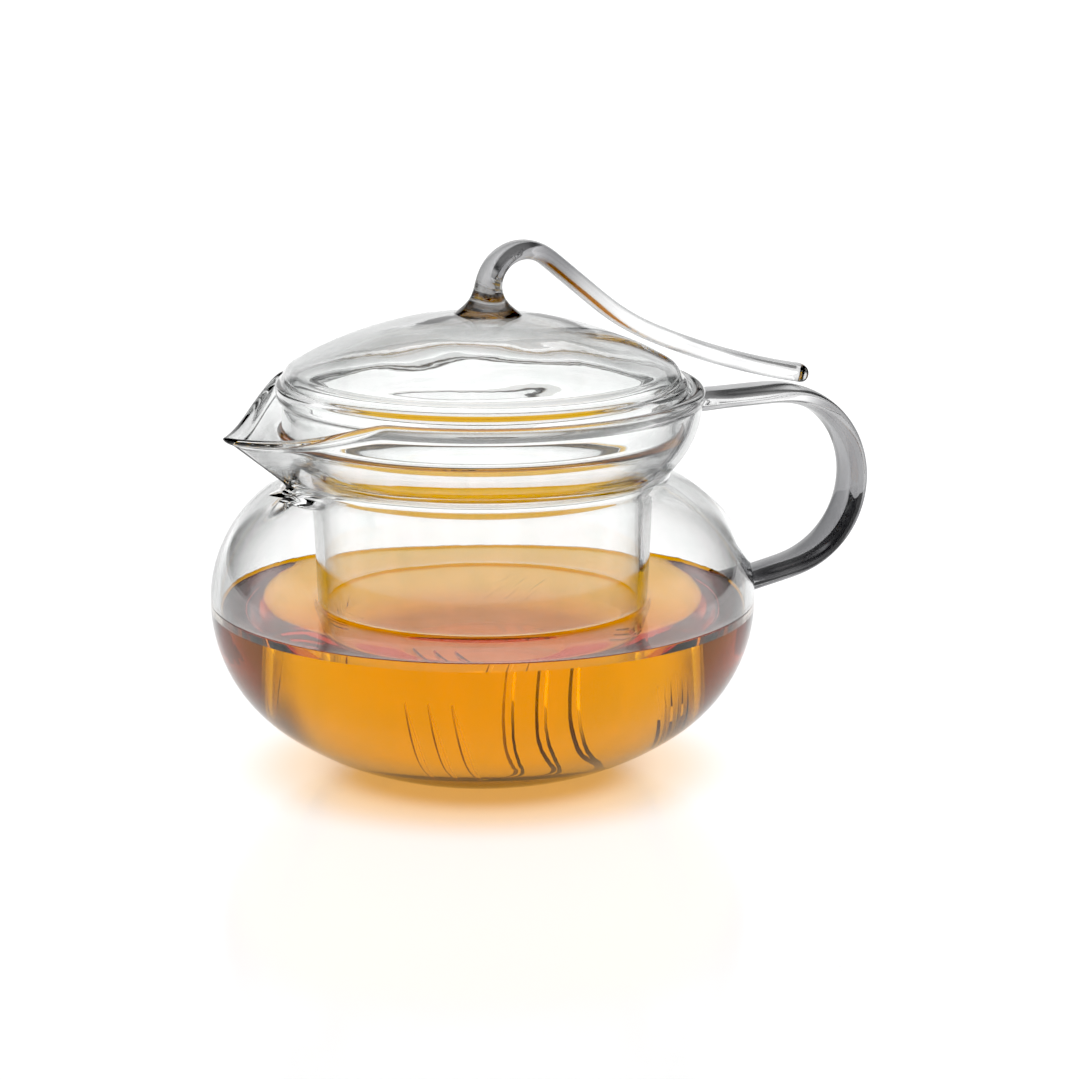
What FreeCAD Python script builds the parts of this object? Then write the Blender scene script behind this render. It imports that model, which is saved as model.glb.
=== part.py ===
import FreeCAD, Part
import math
import os
import Sketcher

# All-glass teapot: a blown bowl with a flared collar, a pinched pouring lip and a strap handle, an infuser
# cup that hangs in the collar, and a domed lid with a swept handle that stands on the infuser's rim.
# Millimetres. The origin is the centre of the foot, on the table; +Z is up, +X is the handle's side and
# the pouring lip points to -X.

FILLET_STEPS = 40
NECK_FROM_SHOULDER = "neck_radius + neck_fillet - bowl_radius + shoulder_arc"
NECK_FROM_COLLAR = "neck_radius + neck_fillet - rim_radius + collar_arc"
FALL = "knob_fall * 1 deg"
SWEPT = "(knob_fall - sweep_turn) * 1 deg"
LEVELLED = "(knob_fall - sweep_turn - tail_turn) * 1 deg"
TAIL_START = (
    f"knob_offset + knob_bend + knob_bend * sin({FALL}) + knob_run * cos({FALL})"
    f" + sweep_arc * (sin({FALL}) - sin({SWEPT}))"
)

SIZES = (
    # name, value or formula, what it is
    ("bowl_radius", 65.0, "bowl, outside, at its widest"),
    ("bowl_equator", 41.5, "height of the widest ring"),
    ("foot_radius", 20.0, "flat the pot stands on"),
    ("floor_inset", 0.4, "how much smaller the flat floor inside is"),
    ("floor_radius", "=foot_radius - floor_inset", "flat floor inside the bowl"),
    ("wall", 2.0, "glass of the bowl and collar"),
    ("base_arc", 66.0, "radius of the bowl's underside"),
    ("side_short", 5.5, "how much the lower side's arc falls short of the widest ring's height"),
    ("side_arc", "=bowl_equator - side_short", "radius of the bowl's lower side"),
    ("shoulder_arc", 32.0, "radius of the bowl's shoulder"),
    ("neck_fillet", 1.2, "radius of the groove between bowl and collar"),
    ("neck_inset", 20.69, "how far the groove lies inside the bowl's widest ring"),
    ("neck_radius", "=bowl_radius - neck_inset", "bowl, outside, at the groove"),
    ("collar_flare", 7.89, "how far the rim stands out over the groove"),
    ("rim_radius", "=neck_radius + collar_flare", "collar, outside, at the rim"),
    ("collar_arc", 21.6, "radius of the flared collar"),
    (
        "collar_top",
        f"=bowl_equator + sqrt((shoulder_arc + neck_fillet)^2 - ({NECK_FROM_SHOULDER})^2)"
        f" + sqrt((collar_arc + neck_fillet)^2 - ({NECK_FROM_COLLAR})^2)",
        "height where the collar stands upright",
    ),
    ("rim_upright", 1.5, "upright glass between the collar's arc and the bead's middle"),
    ("rim_height", "=collar_top + rim_upright", "height of the rim's bead"),
    ("bead_radius", 1.7, "thickened glass of the rim"),
    ("lip_rise", 19.0, "height of the collar above the root of the lip's keel"),
    ("lip_root_height", "=collar_top - lip_rise", "height where the lip's keel leaves the shoulder"),
    ("lip_root_inset", 5.8, "how far the keel's root lies inside the rim's radius"),
    ("lip_root_reach", "=rim_radius - lip_root_inset", "keel's distance from the axis there"),
    ("keel_lean", 1.24, "how far the keel runs out for each unit of height"),
    ("keel_round", 1.8, "outside radius of the keel"),
    ("keel_glass", 2.6, "glass of the keel, measured level"),
    ("channel_rise", 4.0, "height of the channel's lowest point above the keel's root"),
    ("lip_floor_height", "=lip_root_height + channel_rise", "lowest point of the pouring channel"),
    ("channel_over", 8.0, "how far the channel's cut runs past the rim"),
    ("channel_round", 0.6, "inside radius of the keel"),
    ("lip_start_inset", 11.7, "how far inside the rim's radius the lip's edge begins to dip"),
    ("lip_start", "=rim_radius - lip_start_inset", "distance from the axis where the lip's edge dips"),
    ("lip_dip", 5.8, "how far the pouring tip lies below the rim"),
    ("lip_tip_height", "=rim_height - lip_dip", "height of the pouring tip"),
    ("keel_drop", 2.6, "radius of the glass drop that ends the keel"),
    ("cut_over", 12.0, "how far the cutting shapes run past the glass they cut"),
    ("handle_below", 4.1, "how far the handle's upper root lies below the collar's top"),
    ("handle_height", "=collar_top - handle_below", "strap handle, centre line at the collar"),
    ("handle_out", 11.5, "distance of the loop's centre outside the bowl"),
    ("handle_reach", "=bowl_radius + handle_out", "distance of the loop's centre from the axis"),
    ("handle_loop", 22.2, "radius of the loop's centre line"),
    ("handle_tilt", 12.0, "degrees the lower leg falls towards the bowl"),
    ("strap_width", 12.6, "strap handle, across"),
    ("strap_thick", 4.8, "strap handle, through"),
    ("cup_bottom", 11.0, "height of the infuser's underside"),
    ("cup_clear", 3.71, "how much narrower the cup's bottom is than the neck inside"),
    ("cup_radius", "=neck_radius - wall - cup_clear", "infuser, outside, at its bottom"),
    ("cup_corner", 7.0, "radius of the infuser's bottom corner"),
    ("cup_taper", 1.8, "degrees the infuser's wall opens upwards"),
    ("cup_wall", 2.0, "glass of the infuser"),
    ("cup_fillet", 3.0, "radius under the infuser's flange"),
    ("cup_edge", 0.7, "radius of the flange's two edges"),
    ("cup_below", 7.1, "how far the infuser's flange lies below the collar's top"),
    ("cup_rim_height", "=collar_top - cup_below", "top of the infuser's flange"),
    ("seat_gap", 0.25, "clearance of what rests in or on another piece"),
    ("slit_width", 1.4, "strainer slit at its middle"),
    ("slit_pitch", 5.0, "distance from slit to slit"),
    ("slit_lean", 5.5, "sideways run of a slit"),
    ("slit_under", 3.0, "how far a slit's outline runs below the cup"),
    ("slit_rise", 17.0, "how far a slit reaches up the cup's wall"),
    ("slit_low", "=cup_bottom - slit_under", "height of a slit's lower point"),
    ("slit_high", "=cup_bottom + slit_rise", "height of a slit's upper point"),
    ("slit_inward", 0.6, "how far a slit reaches from the corner into the floor"),
    ("slit_depth_start", "=cup_radius - cup_corner - slit_inward", "slit's start, distance from the axis"),
    ("slit_groups", 4.0, "groups of slits round the cup"),
    ("slit_turn", 55.0, "degrees the cup is turned in the pot"),
    ("lid_clear", 0.7, "clearance between the lid's ring and the rim's bead"),
    ("flange_round", 1.4, "half the thickness of the lid's ring"),
    (
        "lid_radius",
        "=rim_radius - wall / 2 - bead_radius - flange_round - lid_clear",
        "lid, outside, at its skirt",
    ),
    ("lid_wall", 2.0, "glass of the lid"),
    ("ring_below", 1.0, "how far the lid's ring reaches below the rim bead's middle"),
    ("ring_tall", 4.4, "height of the lid's ring"),
    ("flange_low", "=rim_height - ring_below", "underside of the lid's ring"),
    ("flange_high", "=flange_low + ring_tall", "top of the lid's ring"),
    ("ring_over", 0.36, "how far the ring's top stands above the top of the skirt"),
    ("dome_sag", 15.96, "height of the dome above the top of the skirt"),
    ("lid_apex", "=flange_high - ring_over + dome_sag", "top of the dome"),
    ("edge_arc", 4.5, "radius between dome and skirt"),
    (
        "dome_arc",
        "=((lid_radius - edge_arc)^2 + dome_sag^2 - edge_arc^2) / (2 * (dome_sag - edge_arc))",
        "radius of the dome",
    ),
    ("knob_offset", 1.6, "lid handle's upright, distance from the axis"),
    ("knob_bend", 9.0, "radius of the first bend"),
    ("knob_fall", 40.0, "degrees the straight run falls"),
    ("knob_run", 17.7, "length of the straight run"),
    ("sweep_arc", 60.0, "radius of the upward sweep"),
    ("sweep_turn", 16.0, "degrees the upward sweep turns"),
    ("tail_turn", 13.0, "degrees the long tail turns"),
    ("tail_over", 8.63, "how far the tail ends beyond the middle of the pot handle's loop"),
    ("tail_above", 3.93, "height of the tail's end above the strap's centre line"),
    (
        "tail_arc",
        f"=(handle_reach + tail_over - ({TAIL_START})) / (sin({SWEPT}) - sin({LEVELLED}))",
        "radius of the long tail",
    ),
    (
        "knob_height",
        f"=handle_height + tail_above - knob_bend * cos({FALL}) + knob_run * sin({FALL})"
        f" + sweep_arc * (cos({SWEPT}) - cos({FALL})) + tail_arc * (cos({LEVELLED}) - cos({SWEPT}))",
        "top of the upright",
    ),
    ("rod_width", 9.0, "lid handle, across"),
    ("rod_thick", 4.6, "lid handle, through"),
    ("root_radius", 8.0, "foot of the lid handle on the dome"),
    ("root_rise", 5.0, "height of that foot"),
    ("tea_below", 0.5, "how far the tea stands below the widest ring"),
    ("tea_level", "=bowl_equator - tea_below", "height of the tea"),
    ("tea_gap", 0.5, "tea's distance from the infuser"),
)


def make_sheet(doc):
    """Write the sizes into the document's spreadsheet and return it."""
    sheet = doc.addObject("Spreadsheet::Sheet", "Sizes")
    for row, (alias, _value, note) in enumerate(SIZES, start=1):
        sheet.set(f"A{row}", alias)
        sheet.set(f"C{row}", note)
        sheet.setAlias(f"B{row}", alias)
    for row, (_alias, value, _note) in enumerate(SIZES, start=1):
        sheet.set(f"B{row}", str(value))
    doc.recompute()
    return sheet


class Sizes:
    """The spreadsheet's values, read by name."""

    def __init__(self, sheet):
        for alias, _value, _note in SIZES:
            setattr(self, alias, float(sheet.get(alias)))


def unit(start, end):
    """Unit vector from one (x, y) point to another."""
    length = math.dist(start, end)
    return ((end[0] - start[0]) / length, (end[1] - start[1]) / length)


def along(start, end, distance):
    """The point at a distance from start in the direction of end."""
    way = unit(start, end)
    return (start[0] + way[0] * distance, start[1] + way[1] * distance)


def polar(centre, radius, degrees):
    """The point of a circle at an angle."""
    turn = math.radians(degrees)
    return (centre[0] + radius * math.cos(turn), centre[1] + radius * math.sin(turn))


def circles_meet(first, first_radius, second, second_radius, side):
    """Where two circles cross: side +1 is the crossing to the left of the way from first to second."""
    gap = math.dist(first, second)
    run = (gap**2 + first_radius**2 - second_radius**2) / (2 * gap)
    rise = math.sqrt(first_radius**2 - run**2)
    way = unit(first, second)
    x = first[0] + way[0] * run - side * way[1] * rise
    y = first[1] + way[1] * run + side * way[0] * rise
    return (x, y)


def origin_plane(body, role):
    """One of a body's own origin planes."""
    return next(item for item in body.Origin.OriginFeatures if item.Role == role)


def origin_axis(body, role):
    """One of a body's own origin axes."""
    return next(item for item in body.Origin.OriginFeatures if item.Role == role)


class Outline:
    """A chain of lines and arcs in a sketch, joined end to end, with its sizes bound to the sheet."""

    def __init__(self, body, name, role, offset=None):
        self.sketch = body.newObject("Sketcher::SketchObject", name)
        self.sketch.AttachmentSupport = [(origin_plane(body, role), "")]
        self.sketch.MapMode = "FlatFace"
        if offset:
            self.sketch.setExpression(".AttachmentOffset.Base.z", offset)
        self.pieces = []

    def line(self, start, end):
        """Add a line and return its place in the chain."""
        ends = [FreeCAD.Vector(x, y, 0) for x, y in (start, end)]
        index = self.sketch.addGeometry(Part.LineSegment(*ends), False)
        self.pieces.append((index, 1, 2))
        return len(self.pieces) - 1

    def arc(self, centre, start, end, clockwise=False):
        """Add an arc from start to end and return its place in the chain."""
        first, last = (end, start) if clockwise else (start, end)
        begin = math.atan2(first[1] - centre[1], first[0] - centre[0])
        finish = math.atan2(last[1] - centre[1], last[0] - centre[0])
        if finish <= begin:
            finish += 2 * math.pi
        round_line = Part.Circle(
            FreeCAD.Vector(*centre, 0), FreeCAD.Vector(0, 0, 1), math.dist(centre, start)
        )
        index = self.sketch.addGeometry(Part.ArcOfCircle(round_line, begin, finish), False)
        self.pieces.append((index, 2, 1) if clockwise else (index, 1, 2))
        return len(self.pieces) - 1

    def rule(self, kind, *where):
        """Add a constraint that has no size."""
        self.sketch.addConstraint(Sketcher.Constraint(kind, *where))

    def join(self, first, second, smooth=False):
        """Join the end of one piece to the start of another, tangent to it if smooth."""
        kind = "Tangent" if smooth else "Coincident"
        before = self.pieces[first]
        after = self.pieces[second]
        self.rule(kind, before[0], before[2], after[0], after[1])

    def start(self, piece):
        """The start point of a piece, as the sketch names it."""
        return (self.pieces[piece][0], self.pieces[piece][1])

    def end(self, piece):
        """The end point of a piece, as the sketch names it."""
        return (self.pieces[piece][0], self.pieces[piece][2])

    def centre(self, piece):
        """The centre of an arc, as the sketch names it."""
        return (self.pieces[piece][0], 3)

    def bind(self, kind, where, formula):
        """Add a size and bind it to the sheet's formula."""
        if kind == "Radius":
            value = self.sketch.Geometry[where[0]].Radius
        else:
            points = [self.sketch.getPoint(*where[i : i + 2]) for i in (0, 2)]
            axis = 0 if kind == "DistanceX" else 1
            value = points[1][axis] - points[0][axis]
        index = self.sketch.addConstraint(Sketcher.Constraint(kind, *where, value))
        self.sketch.setExpression(f"Constraints[{index}]", formula)

    def radius(self, piece, formula):
        """Bind an arc's radius."""
        self.bind("Radius", (self.pieces[piece][0],), formula)

    def place(self, point, across=None, up=None):
        """Bind how far a point lies across and up from the sketch's origin."""
        if across:
            self.bind("DistanceX", (-1, 1, *point), across)
        if up:
            self.bind("DistanceY", (-1, 1, *point), up)

    def level(self, piece, at_end=True):
        """Keep an arc's end, or its start, level with its centre."""
        self.rule("Horizontal", *self.centre(piece), *(self.end(piece) if at_end else self.start(piece)))


def feature(body, kind, name, **settings):
    """Add a PartDesign feature with its settings."""
    item = body.newObject(f"PartDesign::{kind}", name)
    for key, value in settings.items():
        setattr(item, key, value)
    return item


def turned(body, kind, name, outline):
    """Revolve an outline, or groove with it, a full turn about the vertical axis."""
    return feature(
        body, kind, name, Profile=outline.sketch, ReferenceAxis=(outline.sketch, ["V_Axis"]), Angle=360.0
    )


class VesselCurve:
    """Centres and joints of the bowl's and collar's side, set in from the outside by some glass."""

    def __init__(self, size, inset):
        self.start = (size.floor_radius, size.wall) if inset else (size.foot_radius, 0.0)
        self.side = (size.bowl_radius - size.side_arc, size.bowl_equator)
        base_radius = size.base_arc - inset
        self.base = circles_meet(self.start, base_radius, self.side, size.base_arc - size.side_arc, 1)
        self.base_end = along(self.base, self.side, base_radius)
        self.equator = (size.bowl_radius - inset, size.bowl_equator)
        self.shoulder = (size.bowl_radius - size.shoulder_arc, size.bowl_equator)
        self.collar = (size.rim_radius - size.collar_arc, size.collar_top)
        reach = (size.shoulder_arc + size.neck_fillet, size.collar_arc + size.neck_fillet)
        self.neck = circles_meet(self.shoulder, reach[0], self.collar, reach[1], -1)
        self.shoulder_end = along(self.neck, self.shoulder, size.neck_fillet + inset)
        self.neck_end = along(self.neck, self.collar, size.neck_fillet + inset)
        self.collar_end = (size.rim_radius - inset, size.collar_top)


def vessel_side(outline, size, glass, top):
    """Draw the bowl's and collar's side, glass inside the outer face, up to top and back to the axis."""
    curve = VesselCurve(size, size.wall if glass else 0.0)
    less = " - Sizes.wall" if glass else ""
    floor = curve.start[1]
    bottom = outline.line((0, floor), curve.start)
    base = outline.arc(curve.base, curve.start, curve.base_end)
    side = outline.arc(curve.side, curve.base_end, curve.equator)
    shoulder = outline.arc(curve.shoulder, curve.equator, curve.shoulder_end)
    neck = outline.arc(curve.neck, curve.shoulder_end, curve.neck_end, clockwise=True)
    collar = outline.arc(curve.collar, curve.neck_end, curve.collar_end)
    height = size.rim_height + (size.cut_over if glass else 0.0)
    upright = outline.line(curve.collar_end, (curve.collar_end[0], height))
    across = outline.line((curve.collar_end[0], height), (0, height))
    axis = outline.line((0, height), (0, floor))
    corners = ((bottom, base), (collar, upright), (upright, across), (across, axis), (axis, bottom))
    for first, second in corners:
        outline.join(first, second)
    for first, second in ((base, side), (side, shoulder), (shoulder, neck), (neck, collar)):
        outline.join(first, second, smooth=True)
    for piece in (bottom, across):
        outline.rule("Horizontal", outline.pieces[piece][0])
    outline.rule("Vertical", outline.pieces[upright][0])
    outline.rule("PointOnObject", *outline.start(bottom), -2)
    outline.rule("PointOnObject", *outline.end(across), -2)
    if glass:
        outline.place(outline.end(bottom), "Sizes.floor_radius", "Sizes.wall")
    else:
        outline.rule("PointOnObject", *outline.end(bottom), -1)
        outline.place(outline.end(bottom), "Sizes.foot_radius")
    outline.radius(base, "Sizes.base_arc" + less)
    outline.radius(side, "Sizes.side_arc" + less)
    outline.place(outline.centre(side), "Sizes.bowl_radius - Sizes.side_arc", "Sizes.bowl_equator")
    outline.level(side)
    outline.radius(shoulder, "Sizes.shoulder_arc" + less)
    outline.radius(neck, "Sizes.neck_fillet" + (" + Sizes.wall" if glass else ""))
    outline.radius(collar, "Sizes.collar_arc" + less)
    outline.place(outline.centre(collar), "Sizes.rim_radius - Sizes.collar_arc", "Sizes.collar_top")
    outline.level(collar)
    outline.place(outline.end(upright), up=top)
    return outline


def vessel_envelope(doc, size):
    """The pot's outer shape as one solid, which the handle's ends are cut back to."""
    body = doc.addObject("PartDesign::Body", "vessel_envelope")
    outline = vessel_side(Outline(body, "envelope_outline", "XZ_Plane"), size, False, "Sizes.rim_height")
    turned(body, "Revolution", "envelope_turned", outline)
    return body


def collar_radius(size, height, inset=0.0):
    """The collar's radius at a height."""
    radius = size.collar_arc - inset
    drop = max(size.collar_top - height, 0.0)
    return size.rim_radius - size.collar_arc + math.sqrt(radius**2 - drop**2)


def lip_section(body, size, name, share, inner):
    """One level section of the pouring lip: two sides tangent to the collar, meeting in the rounded keel."""
    low = "Sizes.lip_floor_height" if inner else "Sizes.lip_root_height"
    high = "(Sizes.rim_height + Sizes.channel_over)" if inner else "Sizes.rim_height"
    level = f"{low} + ({high} - {low}) * {share}"
    bottom = size.lip_floor_height if inner else size.lip_root_height
    top = size.rim_height + (size.channel_over if inner else 0.0)
    height = bottom + (top - bottom) * share
    glass = size.wall if inner else 0.0
    ring = collar_radius(size, height, glass)
    reach = size.lip_root_reach + (height - size.lip_root_height) * size.keel_lean
    reach -= size.keel_glass if inner else 0.0
    rounding = size.channel_round if inner else size.keel_round
    nose = (-(reach - rounding), 0.0)
    lean = math.acos((ring - rounding) / -nose[0])
    normal = (-math.cos(lean), math.sin(lean))
    upper = (normal[0] * ring, normal[1] * ring)
    upper_nose = (nose[0] + normal[0] * rounding, normal[1] * rounding)
    lower = (upper[0], -upper[1])
    lower_nose = (upper_nose[0], -upper_nose[1])
    back = (-size.lip_start / 2, 0.0)
    outline = Outline(body, name, "XY_Plane", level)
    first = outline.line(back, upper)
    second = outline.line(upper, upper_nose)
    keel = outline.arc(nose, upper_nose, lower_nose)
    fourth = outline.line(lower_nose, lower)
    fifth = outline.line(lower, back)
    for before, after in ((first, second), (fourth, fifth), (fifth, first)):
        outline.join(before, after)
    outline.join(second, keel, smooth=True)
    outline.join(keel, fourth, smooth=True)
    ring_line = Part.Circle(FreeCAD.Vector(0, 0, 0), FreeCAD.Vector(0, 0, 1), ring)
    ring_index = outline.sketch.addGeometry(ring_line, True)
    outline.rule("Coincident", ring_index, 3, -1, 1)
    drop = f"max(Sizes.collar_top - ({level}); 0)"
    arc = "(Sizes.collar_arc - Sizes.wall)" if inner else "Sizes.collar_arc"
    base = "Sizes.rim_radius - Sizes.collar_arc"
    outline.bind("Radius", (ring_index,), f"{base} + sqrt({arc} * {arc} - {drop} * {drop})")
    outline.rule("Tangent", *outline.start(second), ring_index)
    outline.rule("Tangent", *outline.end(fourth), ring_index)
    outline.rule("PointOnObject", *outline.centre(keel), -1)
    outline.rule("PointOnObject", *outline.start(first), -1)
    outline.radius(keel, "Sizes.channel_round" if inner else "Sizes.keel_round")
    reach_text = f"Sizes.lip_root_reach + ({level} - Sizes.lip_root_height) * Sizes.keel_lean"
    reach_text += " - Sizes.keel_glass - Sizes.channel_round" if inner else " - Sizes.keel_round"
    outline.place(outline.centre(keel), f"-({reach_text})")
    outline.place(outline.start(first), "-Sizes.lip_start / 2")
    return outline.sketch


def lip_loft(body, size, kind, name, inner):
    """Loft the pouring lip, or its channel, through level sections."""
    shares = (0.0, 0.25, 0.5, 0.75, 1.0)
    sections = [lip_section(body, size, f"{name}_{i}", share, inner) for i, share in enumerate(shares)]
    body.Document.recompute()
    return feature(body, kind, name, Profile=sections[0], Sections=sections[1:], Ruled=True)


def lip_edge_cut(body, size):
    """Cut the lip's top edge down to the pouring tip in one long curve."""
    tip_reach = size.lip_root_reach + (size.lip_tip_height - size.lip_root_height) * size.keel_lean
    tip = (-tip_reach, size.lip_tip_height)
    start = (-size.lip_start, size.rim_height + size.bead_radius)
    run = abs(tip[0] - start[0])
    fall = start[1] - tip[1]
    bend = (run**2 + fall**2) / (2 * fall)
    outside = (tip[0] - size.cut_over, tip[1])
    sky = size.rim_height + size.cut_over
    outline = Outline(body, "lip_edge_outline", "XZ_Plane")
    curve = outline.arc((tip[0], tip[1] + bend), start, tip, clockwise=True)
    flat = outline.line(tip, outside)
    outer = outline.line(outside, (outside[0], sky))
    top = outline.line((outside[0], sky), (start[0], sky))
    inner = outline.line((start[0], sky), start)
    for before, after in ((flat, outer), (outer, top), (top, inner), (inner, curve)):
        outline.join(before, after)
    outline.join(curve, flat, smooth=True)
    for piece in (flat, top):
        outline.rule("Horizontal", outline.pieces[piece][0])
    for piece in (outer, inner):
        outline.rule("Vertical", outline.pieces[piece][0])
    reach = "Sizes.lip_root_reach + (Sizes.lip_tip_height - Sizes.lip_root_height) * Sizes.keel_lean"
    outline.place(outline.end(curve), f"-({reach})", "Sizes.lip_tip_height")
    outline.place(outline.start(curve), "-Sizes.lip_start", "Sizes.rim_height + Sizes.bead_radius")
    outline.place(outline.end(flat), f"-({reach} + Sizes.cut_over)")
    outline.place(outline.end(outer), up="Sizes.rim_height + Sizes.cut_over")
    return feature(
        body, "Pocket", "lip_edge", Profile=outline.sketch, Type="ThroughAll", Midplane=True
    )


def pot_bowl(doc, size):
    """The blown bowl with its collar, beaded rim and pinched pouring lip."""
    body = doc.addObject("PartDesign::Body", "pot_bowl")
    outer = vessel_side(Outline(body, "bowl_outside", "XZ_Plane"), size, False, "Sizes.rim_height")
    turned(body, "Revolution", "bowl_blown", outer)
    lip_loft(body, size, "AdditiveLoft", "lip", False)
    drop = feature(body, "AdditiveSphere", "keel_drop")
    drop.setExpression("Radius", "Sizes.keel_drop")
    drop.setExpression(".Placement.Base.x", "-Sizes.lip_root_reach")
    drop.setExpression(".Placement.Base.z", "Sizes.lip_root_height")
    above = "Sizes.rim_height + Sizes.cut_over"
    inner = vessel_side(Outline(body, "bowl_inside", "XZ_Plane"), size, True, above)
    turned(body, "Groove", "bowl_hollow", inner)
    bead = Outline(body, "rim_bead_outline", "XZ_Plane")
    middle = FreeCAD.Vector(size.rim_radius - size.wall / 2, size.rim_height, 0)
    ring = bead.sketch.addGeometry(Part.Circle(middle, FreeCAD.Vector(0, 0, 1), size.bead_radius), False)
    bead.bind("Radius", (ring,), "Sizes.bead_radius")
    bead.place((ring, 3), "Sizes.rim_radius - Sizes.wall / 2", "Sizes.rim_height")
    turned(body, "Revolution", "rim_bead", bead)
    lip_loft(body, size, "SubtractiveLoft", "lip_channel", True)
    lip_edge_cut(body, size)
    return body


def stadium(body, name, role, offset, sizes, centre, width, thick, upright):
    """A flat strap's section: two flat sides and two round edges, its long way upright or level."""
    (across, through), (middle, formula) = sizes, centre
    half = (across - through) / 2
    radius = through / 2
    ends = [(middle, -half), (middle, half)] if upright else [(-half, middle), (half, middle)]
    side = (radius, 0) if upright else (0, -radius)
    outline = Outline(body, name, role, offset)
    corner = [[(end[0] + sign * side[0], end[1] + sign * side[1]) for sign in (1, -1)] for end in ends]
    first = outline.line(corner[0][0], corner[1][0])
    far = outline.arc(ends[1], corner[1][0], corner[1][1])
    second = outline.line(corner[1][1], corner[0][1])
    near = outline.arc(ends[0], corner[0][1], corner[0][0])
    for before, after in ((first, far), (far, second), (second, near), (near, first)):
        outline.join(before, after, smooth=True)
    outline.radius(far, f"{thick} / 2")
    outline.rule("Equal", outline.pieces[far][0], outline.pieces[near][0])
    outline.rule("Vertical" if upright else "Horizontal", outline.pieces[first][0])
    run = f"({width} - {thick}) / 2"
    if upright:
        outline.place(outline.centre(far), formula, run)
        outline.place(outline.centre(near), up=f"-{run}")
    else:
        outline.place(outline.centre(far), run, formula)
        outline.place(outline.centre(near), f"-{run}")
    return outline.sketch


def strap_sweep(doc, size):
    """The pot handle's strap, from inside the collar's wall, round the loop, into the bowl's wall."""
    body = doc.addObject("PartDesign::Body", "pot_handle_strap")
    height = size.handle_height
    loop = (size.handle_reach, height - size.handle_loop)
    start = (size.rim_radius - size.wall, height)
    top = (size.handle_reach, height)
    low = polar(loop, size.handle_loop, -90 + size.handle_tilt)
    fall = math.tan(math.radians(size.handle_tilt))
    run = low[0] - (size.bowl_radius - size.wall)
    foot = (low[0] - run, low[1] - run * fall)
    path = Outline(body, "pot_handle_path", "XZ_Plane")
    upper = path.line(start, top)
    round_part = path.arc(loop, top, low, clockwise=True)
    lower = path.line(low, foot)
    path.join(upper, round_part, smooth=True)
    path.join(round_part, lower, smooth=True)
    path.rule("Horizontal", path.pieces[upper][0])
    path.radius(round_part, "Sizes.handle_loop")
    path.place(path.start(upper), "Sizes.rim_radius - Sizes.wall", "Sizes.handle_height")
    path.place(path.end(upper), "Sizes.handle_reach")
    path.place(path.end(lower), "Sizes.bowl_radius - Sizes.wall")
    drop = "Sizes.handle_loop * cos(Sizes.handle_tilt * 1 deg)"
    path.place(path.start(lower), up=f"Sizes.handle_height - Sizes.handle_loop - {drop}")
    section = stadium(
        body, "pot_handle_section", "YZ_Plane", "Sizes.rim_radius - Sizes.wall",
        (size.strap_width, size.strap_thick), (height, "Sizes.handle_height"),
        "Sizes.strap_width", "Sizes.strap_thick", False,
    )
    doc.recompute()
    feature(body, "AdditivePipe", "pot_handle_swept", Profile=section, Spine=(path.sketch, []))
    return body


def trimmed(doc, name, base, tool):
    """A piece whose ends are cut back to the face they are fused to."""
    piece = doc.addObject("Part::Cut", name)
    piece.Base = base
    piece.Tool = tool
    return piece


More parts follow.
